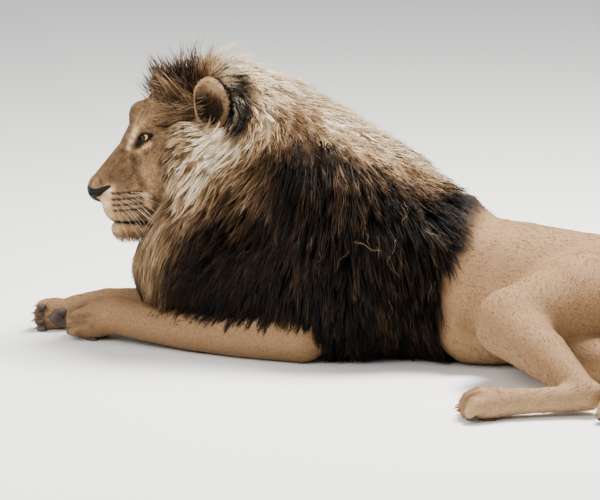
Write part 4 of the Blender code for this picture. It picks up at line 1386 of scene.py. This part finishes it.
def locks(name, roots, lengths, stand, rise, strands, spread, widths, rng, rings=4, wander=0.12):
    """Clumps of strands that part at the root and draw together at the tip."""
    paths, normals = grow(roots, lengths, stand, rise, rng, rings, wander)
    seen = paths[:, (rings + 1) // 2]
    tones = clump_tone(seen) + rng.normal(0.0, CLUMP_NOISE, len(roots))
    many = np.repeat(np.arange(len(roots)), strands)
    count = len(many)
    reach = rng.uniform(0.72, 1.0, count)
    steps = np.linspace(0.0, 1.0, rings + 1)
    place = steps[None] * reach[:, None] * rings
    cell = np.minimum(place.astype(int), rings - 1)
    part = (place - cell)[..., None]
    own = paths[many]
    rows = np.arange(count)[:, None]
    own = own[rows, cell] * (1.0 - part) + own[rows, cell + 1] * part
    ends = rng.normal(0.0, 1.0, (2, count, 1, 3))
    fan = (1.0 - 0.75 * steps)[None, :, None]
    own = own + ends[0] * spread * fan + ends[1] * spread * 0.45 * (steps ** 2)[None, :, None]
    sway = rng.normal(0.0, 1.0, (count, 1, 3)) * WAVE
    phase = steps[None] * rng.uniform(3.0, 6.5, (count, 1)) + rng.uniform(0.0, 6.28, (count, 1))
    own = own + sway * (np.sin(phase) * steps[None])[..., None]
    width = widths * rng.uniform(0.6, 1.35, count)
    profile = np.interp(np.arange(rings) / rings, (0.0, 0.25, 0.6, 1.0), (0.7, 1.0, 0.9, 0.35))
    strand_tones = tones[many] + rng.normal(0.0, CLUMP_NOISE * 0.8, count)
    return sheaths(name, own, normals[many], width, strand_tones, own[:, 0], rng, profile)


def halved(quads):
    """Four-sided faces as triangles."""
    return np.concatenate((quads[:, (0, 1, 2)], quads[:, (0, 2, 3)]))


def triangulated(thing):
    """A mesh's points, and its faces as triangles."""
    mesh = thing.data
    mesh.calc_loop_triangles()
    flat = np.empty(len(mesh.loop_triangles) * 3, dtype=np.int32)
    mesh.loop_triangles.foreach_get("vertices", flat)
    return mesh_points(mesh), flat.reshape(-1, 3)


# ---------------------------------------------------------------- the user's sizes

class LionSkinSettings(bpy.types.PropertyGroup):
    head_grain: bpy.props.FloatProperty(name="Head grain", description="Spacing of the head's skin",
                                        default=0.0017, min=0.001, unit="LENGTH")
    body_grain: bpy.props.FloatProperty(name="Body grain", description="Spacing of the body's skin",
                                        default=0.0055, min=0.003, unit="LENGTH")
    budget: bpy.props.IntProperty(name="Triangles", description="Most triangles in the skin",
                                  default=185000, min=20000)


class LionCoatSettings(bpy.types.PropertyGroup):
    mane_strands: bpy.props.IntProperty(name="Mane strands", description="Strands in the whole mane",
                                        default=46000, min=100)
    short_tufts: bpy.props.IntProperty(name="Short tufts", description="Tufts of the short coat",
                                       default=34000, min=100)
    strand_width: bpy.props.FloatProperty(name="Strand width", description="Width of a mane strand",
                                          default=0.0022, min=0.0005, unit="LENGTH")


class LionStageSettings(bpy.types.PropertyGroup):
    camera_distance: bpy.props.FloatProperty(name="Camera distance", description="From the lion",
                                             default=10.0, min=1.0, unit="LENGTH")
    lens: bpy.props.FloatProperty(name="Lens", description="Focal length", default=252.0,
                                  min=10.0, unit="CAMERA")
    azimuth: bpy.props.FloatProperty(name="Azimuth", description="Camera's turn round the lion",
                                     default=math.radians(15.0), subtype="ANGLE")
    elevation: bpy.props.FloatProperty(name="Elevation", description="Camera's height angle",
                                       default=math.radians(12.5), subtype="ANGLE")


# ---------------------------------------------------------------- operators

class LION_OT_skin(bpy.types.Operator):
    """Make the skin that stands for all the solids of flesh"""
    bl_idname = "lion.skin"
    bl_label = "Skin"

    def execute(self, context):
        sizes = context.scene.lion_skin
        skin = make_skin(sizes.head_grain, sizes.body_grain, sizes.budget)
        hand_over(skin, "coat", *FLESH)
        return {"FINISHED"}


class LION_OT_eyes(bpy.types.Operator):
    """Make the eyeballs"""
    bl_idname = "lion.eyes"
    bl_label = "Eyes"

    def execute(self, context):
        for name, side in (("left", 1.0), ("right", -1.0)):
            centre, sight = eye_line(side)
            bpy.ops.mesh.primitive_uv_sphere_add(segments=40, ring_count=24, radius=BALL,
                                                 location=tuple(centre))
            ball = bpy.context.active_object
            ball.name = ball.data.name = "eyeball_" + name
            bpy.ops.object.transform_apply(location=True, rotation=True, scale=True)
            bpy.ops.object.shade_smooth()
            sight, middle = Vector(sight), Vector(centre)
            for vertex in ball.data.vertices:
                away = vertex.co - middle
                share = away.normalized().dot(sight)
                bulge = max(0.0, (share - CORNEA_EDGE) / CORNEA_SPAN)
                vertex.co += sight * (CORNEA * bulge)
            ball.data.materials.append(eye_material(side))
            hand_over(ball, "eye", "eye_" + name)
        return {"FINISHED"}


SHORT_PIECES = (
    # name, share of the tufts, length, width, lift, unevenness of the lie and of the tone, paler by (painted
    # light that evens out the tufts' own shade)
    ("coat_face", 0.36, 0.0075, 0.0010, 0.16, 0.25, 0.060, 0.0),
    ("coat_forelegs", 0.22, 0.012, 0.0011, 0.06, 0.14, 0.016, 0.055),
    ("coat_hindquarters", 0.42, 0.016, 0.0012, 0.045, 0.14, 0.016, 0.055),
)
FORE_END = 0.38                         # where the coat of the forelegs ends, along the body


class LION_OT_short_coat(bpy.types.Operator):
    """Lay the short coat over face, ears, legs, body and tail"""
    bl_idname = "lion.short_coat"
    bl_label = "Short coat"

    def execute(self, context):
        rng = np.random.default_rng(11)
        skin = bpy.data.objects["skin"]
        points, faces = triangulated(skin)
        middles = points[faces].mean(axis=1)
        thick = -outer_field().sample(middles)[0]
        local = in_head(middles)
        on_head = (local[:, 0] < 0.34) & (local[:, 2] > -0.16) & (np.abs(local[:, 1]) < 0.2)
        bare = (local[:, 0] < 0.034) & (local[:, 2] > -0.04) & (local[:, 2] < 0.012)
        balls = np.min([np.linalg.norm(local - EYE_SET * (1.0, side, 1.0), axis=1)
                        for side in (1.0, -1.0)], axis=0)
        bare |= balls < BALL + 0.0012
        material = hair_material("short_coat_hair", 0.62, 0.15, 300.0, 0.0)
        count = context.scene.lion_coat.short_tufts
        written = as_written(middles)
        fore = written[:, 0] < FORE_END
        for (name, share, length, width, lift, mess, speckle, paler), where in zip(
                SHORT_PIECES, (on_head & ~bare, ~on_head & fore, ~on_head & ~fore)):
            wanted = where & (thick < 0.024) & (middles[:, 2] > 0.006)
            roots, normals = sow(points, faces, int(count * share), rng, wanted)
            size = length * rng.uniform(0.7, 1.3, len(roots))
            if name == "coat_face":
                near = in_head(roots)[:, 0]
                size *= 0.55 + 0.9 * step_up(near, 0.02, 0.22)
            # paler: painted light that evens out the tufts' own shade
            tones = marked_tone(roots) + rng.normal(0.0, speckle, len(roots)) + paler
            piece = short_tufts(name, roots, normals, size, width * rng.uniform(0.7, 1.3, len(roots)),
                                tones, rng, lift, mess)
            piece.data.materials.append(material)
            hand_over(piece, "coat")
        return {"FINISHED"}


MANE_PIECES = (
    # name, share of the strands, length, spread of a clump, how far it stands off, rise over the solids
    ("mane_ruff", 0.19, 0.105, 0.0048, 0.00, 0.000),
    ("mane_throat", 0.12, 0.125, 0.0055, 0.05, 0.000),
    ("mane_neck_left", 0.11, 0.110, 0.0058, 0.02, 0.000),
    ("mane_neck_right", 0.11, 0.110, 0.0058, 0.02, 0.000),
    ("mane_shoulder_left", 0.14, 0.095, 0.0060, 0.06, 0.002),
    ("mane_shoulder_right", 0.14, 0.095, 0.0060, 0.06, 0.002),
    ("mane_withers", 0.10, 0.062, 0.0065, 0.25, 0.004),
)
STRANDS = 7


def mane_piece_of(points):
    """The number of the mane piece that each place belongs to."""
    local, written = in_head(points), as_written(points)
    found = np.where(written[:, 1] < 0.0, 4, 5)
    found = np.where(written[:, 0] < 0.06, np.where(written[:, 1] < 0.0, 2, 3), found)
    found = np.where((written[:, 2] > 0.47) & (written[:, 0] > -0.06), 6, found)
    found = np.where((written[:, 2] > 0.36) & (written[:, 0] > 0.22), 6, found)
    found = np.where((written[:, 2] < 0.30) & (written[:, 0] < -0.22), 1, found)
    found = np.where((local[:, 0] < 0.42) & (local[:, 2] > -0.09), 0, found)
    return found


class LION_OT_mane(bpy.types.Operator):
    """Grow the mane's locks over neck, chest, shoulders and withers"""
    bl_idname = "lion.mane"
    bl_label = "Mane"

    def execute(self, context):
        rng = np.random.default_rng(23)
        sizes = context.scene.lion_coat
        field = outer_field()
        points, quads = field.surface(-0.024)
        faces = halved(quads)
        middles = points[faces].mean(axis=1)
        bare = np.minimum(body_clay(middles), head_clay(middles))
        within = (bare > 0.004) & (middles[:, 2] > 0.012)
        within &= (leg_clay(middles) > -0.002) | (middles[:, 2] > 0.14)
        local = in_head(middles)
        crown = (local[:, 2] > 0.19) & (local[:, 0] < 0.345)
        which = mane_piece_of(middles)
        material = hair_material("mane_hair", 0.50, 0.10, 250.0, 0.0)
        for index, (name, share, length, spread, stand, rise) in enumerate(MANE_PIECES):
            wanted = within & ~crown & (which == index)
            clumps = int(sizes.mane_strands * share / STRANDS)
            roots, _ = sow(points, faces, clumps, rng, wanted)
            lengths = length * rng.uniform(0.75, 1.25, clumps)
            if index == 0:
                local = in_head(roots)
                lengths *= 1.0 - 0.45 * step_up(local[:, 2], -0.05, 0.12)
                lengths *= 1.0 - 0.30 * step_up(0.30 - local[:, 0], 0.0, 0.06) * (local[:, 2] > 0.0)
            piece = locks(name, roots, lengths, np.full(clumps, stand), rise, STRANDS, spread,
                          sizes.strand_width, rng)
            piece.data.materials.append(material)
            hand_over(piece, "mane")
        return {"FINISHED"}


class LION_OT_crown(bpy.types.Operator):
    """Grow the upright hair of the crown"""
    bl_idname = "lion.crown"
    bl_label = "Crown"

    def execute(self, context):
        rng = np.random.default_rng(37)
        sizes = context.scene.lion_coat
        skin = bpy.data.objects["skin"]
        points, faces = triangulated(skin)
        middles = points[faces].mean(axis=1)
        thick = -outer_field().sample(middles)[0]
        local = in_head(middles)
        wanted = (thick > 0.016) & (local[:, 2] > 0.16) & (local[:, 0] < 0.40)
        wanted &= ears_clay(middles) > 0.004
        clumps = int(sizes.mane_strands * 0.09 / STRANDS)
        roots, _ = sow(points, faces, clumps, rng, wanted)
        thick = -outer_field().sample(roots)[0]
        lengths = np.clip(thick * 2.1 + 0.022, 0.035, 0.20) * rng.uniform(0.6, 1.12, clumps)
        piece = locks("mane_crown_hair", roots, lengths, np.full(clumps, 0.88), 0.004, STRANDS, 0.0085,
                      sizes.strand_width * 0.75, rng, rings=5, wander=0.20)
        piece.data.materials.append(bpy.data.materials["mane_hair"])
        hand_over(piece, "mane")
        return {"FINISHED"}


def nose_clay(points):
    """The nose leather: the front of the face, just over the skin."""
    forms = [egg((0.021, 0.0, -0.0125), (0.031, 0.038, 0.0165), frame=HEAD, blend=0.012),
             egg((0.024, 0.0, -0.0290), (0.030, 0.024, 0.0160), frame=HEAD, blend=0.012)]
    for side in (1.0, -1.0):
        forms.append(limb([(0.030, 0.027 * side, -0.010, 0.010), (0.054, 0.036 * side, 0.003, 0.005)],
                          blend=0.006, frame=HEAD))
    return smooth_cut(head_clay(points) - 0.0009, -pressed(points, forms), 0.004)


class LION_OT_nose(bpy.types.Operator):
    """Make the nose leather with its nostrils"""
    bl_idname = "lion.nose"
    bl_label = "Nose"

    def execute(self, context):
        middle = HEAD[0] + np.array((0.02, 0.0, -0.02)) @ HEAD[1]
        points, quads = Field(nose_clay, middle - 0.05, middle + 0.05, 0.0011).surface()
        nose = mesh_object("nose_leather", points, quads)
        nose.data.materials.append(plain_material("nose_leather", (0.007, 0.0055, 0.005), 0.48, 900.0, 0.5))
        hand_over(nose, "nose_leather")
        return {"FINISHED"}


def settle(points, clay, rounds=4):
    """Move places onto a clay's surface: the places and the outward directions there."""
    points = np.array(points, dtype=float)
    for _ in range(rounds):
        value = clay(points)
        slope = np.stack([clay(points + step) - clay(points - step) for step in np.eye(3) * 0.002], axis=1)
        out = unit(slope)
        points = points - out * value[:, None]
    return points, out


class LION_OT_whiskers(bpy.types.Operator):
    """Make the whiskers, in four rows on each side of the muzzle"""
    bl_idname = "lion.whiskers"
    bl_label = "Whiskers"

    def execute(self, context):
        rng = np.random.default_rng(41)
        roots, ways = [], []
        for side in (1.0, -1.0):
            for row, spot in np.ndindex(*WHISKERS):
                roots.append(HEAD[0] + (whisker_place(row, spot) * (1.0, side, 1.0)) @ HEAD[1])
                way = np.array((0.55 + 0.10 * spot, 0.60, 0.05 - 0.22 * row)) + rng.normal(0.0, 0.10, 3)
                ways.append(unit(way * (1.0, side, 1.0)) @ HEAD[1])
        roots, out = settle(roots, head_clay)
        ways = np.array(ways)
        count = len(roots)
        lengths = rng.uniform(0.055, 0.125, count)
        steps = np.linspace(0.0, 1.0, 8)
        reaches = (ways * lengths[:, None])[:, None] * steps[None, :, None]
        paths = roots[:, None] - out[:, None] * 0.002 + reaches
        paths[..., 2] -= (lengths[:, None] * 0.28) * steps[None] ** 2
        widths = np.full(count, 0.00065)
        hairs = sheaths("whiskers", paths, out, widths, np.full(count, 0.97), roots, rng,
                        (1.0, 0.95, 0.85, 0.75, 0.65, 0.55, 0.4), thin=1.0, shading=(0.0, 0.03))
        hairs.data.materials.append(hair_material("whisker_hair", 0.35, 0.05, 100.0, 0.0))
        hand_over(hairs, "whisker")
        return {"FINISHED"}


def paw_frames():
    """Each paw: its middle, the way it points, the way its palm faces and the way its toes spread."""
    return (
        ((-0.482, -0.094, 0.046), (-0.966, 0.259, 0.0), (0.0, 0.0, -1.0), 0.031),
        ((-0.600, -0.030, 0.034), (-0.883, -0.469, 0.0), (0.469, -0.883, 0.0), 0.0185),
        ((0.585, -0.590, 0.036), (-0.926, -0.377, 0.0), (0.0, 0.0, -1.0), 0.027),
        ((0.895, -0.545, 0.036), (-0.316, -0.949, 0.0), (0.0, 0.0, -1.0), 0.027),
    )


def toe_ends():
    """The front of each toe, and the way it points."""
    ends = []
    for toe in range(4):
        ends.append((np.array((-0.536 + 0.012 * abs(toe - 1.5), -0.139 + 0.031 * toe, 0.030)),
                     np.array((-1.0, 0.0, -0.15))))
        ends.append((np.array((0.007 * abs(toe - 1.5) - 0.640, -0.058, 0.006 + 0.0185 * toe)),
                     np.array((-0.75, -0.65, 0.0))))
    for middle, ahead, _, spread in paw_frames()[2:]:
        ahead = np.array(ahead)
        across = np.array((-ahead[1], ahead[0], 0.0))
        for toe in range(4):
            place = np.array((middle[0], middle[1], 0.024)) + across * (spread * (toe - 1.5))
            ends.append((place + ahead * (0.064 - 0.008 * abs(toe - 1.5)), ahead + (0.0, 0.0, -0.2)))
    return ends


class LION_OT_claws(bpy.types.Operator):
    """Make the claws, drawn in so that only their tips show in the fur"""
    bl_idname = "lion.claws"
    bl_label = "Claws"

    def execute(self, context):
        ends = toe_ends()
        places = np.array([end[0] for end in ends]) + SHIFT
        ways = unit(np.array([end[1] for end in ends]))
        roots, out = settle(places, pad_ground)
        steps = np.linspace(0.0, 1.0, 7)[None, :, None]
        way = (ways * 0.6 + out * 0.4)[:, None]
        paths = roots[:, None] - out[:, None] * 0.003 + way * 0.013 * steps
        paths[..., 2] = np.maximum(paths[..., 2] + 0.001 - 0.005 * steps[..., 0] ** 2, 0.0028)
        rng = np.random.default_rng(43)
        widths, tones = np.full(len(roots), 0.0058), np.full(len(roots), 0.5)
        claws = sheaths("claws", paths, out, widths, tones, roots, rng,
                        (1.0, 1.0, 0.9, 0.75, 0.55, 0.32), thin=1.2)
        finish_with(claws, "SUBSURF", levels=1, render_levels=1)
        claws.data.materials.append(plain_material("claw_horn", (0.16, 0.11, 0.07), 0.3, 300.0, 0.05))
        hand_over(claws, "claw")
        return {"FINISHED"}


class LION_OT_pads(bpy.types.Operator):
    """Make the leather pads under the toes and palms"""
    bl_idname = "lion.pads"
    bl_label = "Pads"

    def execute(self, context):
        forms = []
        for middle, ahead, palm, spread in paw_frames():
            middle, ahead, palm = np.array(middle) + SHIFT, np.array(ahead), np.array(palm)
            across = np.cross(palm, ahead)
            for toe in range(4):
                place = middle + across * (spread * (toe - 1.5)) + ahead * (0.040 - 0.006 * abs(toe - 1.5))
                place, _ = settle([place + palm * 0.03], pad_ground)
                forms.append(limb([(*(place[0] - palm * 0.0012 - ahead * 0.006), 0.0070),
                                   (*(place[0] - palm * 0.0012 + ahead * 0.006), 0.0060)], blend=0.003,
                                  frame=SCENE))
            place, _ = settle([middle + palm * 0.03 - ahead * 0.004], pad_ground)
            for way in (-1.0, 0.0, 1.0):
                spot = place[0] - palm * 0.0015 + across * (way * spread * 0.62) - ahead * (0.010 * abs(way))
                forms.append(limb([(*(spot - ahead * 0.006), 0.0100), (*(spot + ahead * 0.008), 0.0100)],
                                  blend=0.008, frame=SCENE))

        def clay(points):
            return np.maximum(pressed(points, forms), 0.0003 - points[:, 2])

        shells = []
        for middle, *_ in paw_frames():
            centre = np.array(middle) + SHIFT
            points, quads = Field(clay, centre - 0.10, centre + 0.10, 0.0025).surface()
            shells.append(mesh_object("pads", points, quads))
        pads = joined(shells, "paw_pads")
        pads.data.materials.append(plain_material("pad_leather", (0.10, 0.075, 0.062), 0.6, 700.0, 0.5))
        hand_over(pads, "paw_pad")
        return {"FINISHED"}


def pad_ground(points):
    """The skin of the legs, which pads and claws sit on."""
    return leg_clay(points) + SHORT_DEPTH


class LION_OT_details(bpy.types.Operator):
    """Grow the longer hair of chin, lips and ears, and the stray wisps of the mane"""
    bl_idname = "lion.details"
    bl_label = "Chin, ear and stray hair"

    def execute(self, context):
        rng = np.random.default_rng(47)
        skin = bpy.data.objects["skin"]
        points, faces = triangulated(skin)
        middles = points[faces].mean(axis=1)
        local = in_head(middles)
        normals = unit(turnings(points[faces]))
        material = hair_material("fine_hair", 0.55, 0.10, 250.0, 0.0)
        chin = (local[:, 2] < -0.094) & (local[:, 2] > -0.14) & (local[:, 0] < 0.19) & (normals[:, 2] < 0.55)
        roots, out = sow(points, faces, 2600, rng, chin)
        place = in_head(roots)
        back = 0.30 + rng.normal(0, 0.15, len(roots))
        aside = rng.normal(0, 0.15, len(roots)) + 0.4 * place[:, 1] / 0.05 * 0.3
        way = np.stack((back, aside, np.full(len(roots), -1.0)), axis=1)
        self.grow_tufts("chin_hair", roots, out, unit(way) @ HEAD[1],
                        0.016 * rng.uniform(0.6, 1.2, len(roots)),
                        marked_tone(roots) + rng.normal(0, 0.06, len(roots)), rng, material)
        hollow = ear_hollows(middles)
        ears = (ears_clay(middles) < 0.003) & (local[:, 2] > 0.165)
        rim = ears & (hollow > 0.002)
        roots, out = sow(points, faces, 2200, rng, rim)
        place = in_head(roots)
        front = 1.0 - step_up(place[:, 0], 0.265, 0.290)
        way = np.stack((rng.normal(0.7, 0.15, len(roots)), np.sign(place[:, 1]) * 0.4,
                        rng.normal(0.30, 0.15, len(roots))), axis=1)
        tones = marked_tone(roots) + rng.normal(0.0, 0.10, len(roots))
        self.grow_tufts("ear_fringe", roots, out, unit(way) @ HEAD[1],
                        (0.010 + 0.022 * front) * rng.uniform(0.5, 1.2, len(roots)),
                        tones, rng, material)
        inside = ears & (hollow < 0.004)
        roots, out = sow(points, faces, 1900, rng, inside)
        place = in_head(roots)
        way = np.stack((rng.normal(0.35, 0.15, len(roots)), np.sign(place[:, 1]) * 0.5,
                        rng.normal(0.7, 0.15, len(roots))), axis=1)
        self.grow_tufts("ear_lining", roots, out, unit(way) @ HEAD[1],
                        0.016 * rng.uniform(0.5, 1.2, len(roots)),
                        inner_ear_tone(place) + rng.normal(0.06, 0.09, len(roots)), rng, material)
        self.stray_wisps(rng, material)
        return {"FINISHED"}

    def grow_tufts(self, name, roots, out, ways, lengths, tones, rng, material):
        """Fine hairs that bow outwards from the skin."""
        steps = np.linspace(0.0, 1.0, 4)[None, :, None]
        length = lengths[:, None, None]
        paths = (roots - out * 0.001)[:, None] + ways[:, None] * length * steps
        paths = paths + out[:, None] * length * 0.35 * (steps - steps ** 2)
        piece = sheaths(name, paths, out, FINE_WIDTH * rng.uniform(0.7, 1.3, len(roots)), tones, roots, rng,
                        (0.9, 1.0, 0.7), thin=0.6)
        piece.data.materials.append(material)
        hand_over(piece, "coat")

    def stray_wisps(self, rng, material):
        """Single curled hairs over the dark side of the mane."""
        points, quads = outer_field().surface(-0.006)
        faces = halved(quads)
        written = as_written(points[faces].mean(axis=1))
        wanted = (written[:, 0] > -0.12) & (written[:, 0] < 0.40) & (written[:, 2] > 0.07)
        wanted &= (written[:, 2] < 0.40) & (np.abs(written[:, 1]) > 0.10)
        count = WISPS
        roots, _ = sow(points, faces, count, rng, wanted)
        rings = 9
        paths, out = grow(roots, rng.uniform(0.03, 0.07, count), np.full(count, 0.1), 0.004, rng, rings, 0.3)
        many = np.repeat(np.arange(count), 2)
        paths, out = paths[many], out[many]
        turns = np.linspace(0.0, 1.0, rings + 1)[None] * rng.uniform(5.0, 11.0, (len(many), 1))
        turns += rng.uniform(0.0, 6.28, (len(many), 1))
        across = np.cross(out, unit(paths[:, -1] - paths[:, 0]))
        size = rng.uniform(0.002, 0.006, (len(many), 1, 1))
        paths = paths + across[:, None] * size * np.sin(turns)[..., None]
        paths = paths + out[:, None] * size * 0.6 * np.cos(turns)[..., None]
        paths += rng.normal(0.0, 0.003, (len(many), 1, 3))
        piece = sheaths("mane_wisps", paths, out, np.full(len(many), WISP_WIDTH),
                        rng.uniform(0.35, 0.62, len(many)), roots[many], rng,
                        np.linspace(1.0, 0.4, rings), shading=(0.0, 0.08))
        piece.data.materials.append(material)
        hand_over(piece, "mane")


LAMPS = (
    # name, place, size, power in watts
    ("sun_side", (0.6, 0.9, 3.4), 1.5, 330.0),
    ("front", (-1.6, -3.0, 2.6), 2.2, 95.0),
    ("fill", (-4.0, -1.0, 1.4), 3.0, 50.0),
)
LIT_PLACE = (-0.3, 0.0, 0.2)            # what the lamps are turned to


class LION_OT_stage(bpy.types.Operator):
    """Make the floor, the lights and the camera"""
    bl_idname = "lion.stage"
    bl_label = "Stage"

    def execute(self, context):
        sizes = context.scene.lion_stage
        bpy.ops.mesh.primitive_plane_add(size=60.0, location=(0.0, 0.0, 0.0))
        floor = bpy.context.active_object
        floor.name = "floor"
        material = new_material("pale_floor", {"Base Color": (0.80, 0.79, 0.77, 1.0), "Roughness": 0.9})[0]
        floor.data.materials.append(material)
        for name, place, size, power in LAMPS:
            lamp = bpy.data.lights.new(name, "AREA")
            lamp.energy, lamp.size = power, size
            lamp.color = (1.0, 0.985, 0.96)
            thing = bpy.data.objects.new(name, lamp)
            thing.location = place
            aim = Vector(LIT_PLACE) - Vector(place)
            thing.rotation_euler = aim.to_track_quat("-Z", "Y").to_euler()
            bpy.context.scene.collection.objects.link(thing)
        world = bpy.data.worlds.new("studio")
        world.use_nodes = True
        world.node_tree.nodes["Background"].inputs["Color"].default_value = (0.95, 0.97, 1.0, 1.0)
        world.node_tree.nodes["Background"].inputs["Strength"].default_value = 0.55
        bpy.context.scene.world = world
        bpy.context.scene.view_settings.look = "AgX - Medium High Contrast"
        target = np.array((-0.004, 0.0475, 0.2115)) + SHIFT * (1.0, 1.0, 0.0)
        turn, rise = sizes.azimuth, sizes.elevation
        back = np.array((math.sin(turn) * math.cos(rise), -math.cos(turn) * math.cos(rise),
                         math.sin(rise)))
        camera = bpy.data.cameras.new("camera")
        camera.lens = sizes.lens
        camera.sensor_width = 36.0
        camera.clip_end = 200.0
        eye = bpy.data.objects.new("camera", camera)
        eye.location = target + back * sizes.camera_distance
        eye.rotation_euler = Vector(-back).to_track_quat("-Z", "Y").to_euler()
        bpy.context.scene.collection.objects.link(eye)
        bpy.context.scene.camera = eye
        return {"FINISHED"}


OPERATORS = (LION_OT_skin, LION_OT_eyes, LION_OT_nose, LION_OT_pads, LION_OT_claws,
             LION_OT_whiskers, LION_OT_short_coat, LION_OT_mane, LION_OT_crown, LION_OT_details,
             LION_OT_stage)


class LION_PT_panel(bpy.types.Panel):
    """The lion's pieces"""
    bl_idname = "LION_PT_panel"
    bl_label = "Lying lion"
    bl_space_type = "VIEW_3D"
    bl_region_type = "UI"
    bl_category = "Lion"

    def draw(self, context):
        for settings in (context.scene.lion_skin, context.scene.lion_coat, context.scene.lion_stage):
            for key in settings.__annotations__:
                self.layout.prop(settings, key)
        for operator in OPERATORS:
            self.layout.operator(operator.bl_idname)


GROUPS = (("lion_skin", LionSkinSettings), ("lion_coat", LionCoatSettings),
          ("lion_stage", LionStageSettings))


def register():
    for name, group in GROUPS:
        bpy.utils.register_class(group)
        setattr(bpy.types.Scene, name, bpy.props.PointerProperty(type=group))
    for operator in OPERATORS:
        bpy.utils.register_class(operator)
    bpy.utils.register_class(LION_PT_panel)


def unregister():
    bpy.utils.unregister_class(LION_PT_panel)
    for operator in reversed(OPERATORS):
        bpy.utils.unregister_class(operator)
    for name, group in reversed(GROUPS):
        delattr(bpy.types.Scene, name)
        bpy.utils.unregister_class(group)


def main():
    register()
    bpy.ops.lion.skin()
    bpy.ops.lion.eyes()
    bpy.ops.lion.nose()
    bpy.ops.lion.pads()
    bpy.ops.lion.claws()
    bpy.ops.lion.whiskers()
    bpy.ops.lion.short_coat()
    bpy.ops.lion.mane()
    bpy.ops.lion.crown()
    bpy.ops.lion.details()
    bpy.ops.lion.stage()


if __name__ == "__main__":
    main()
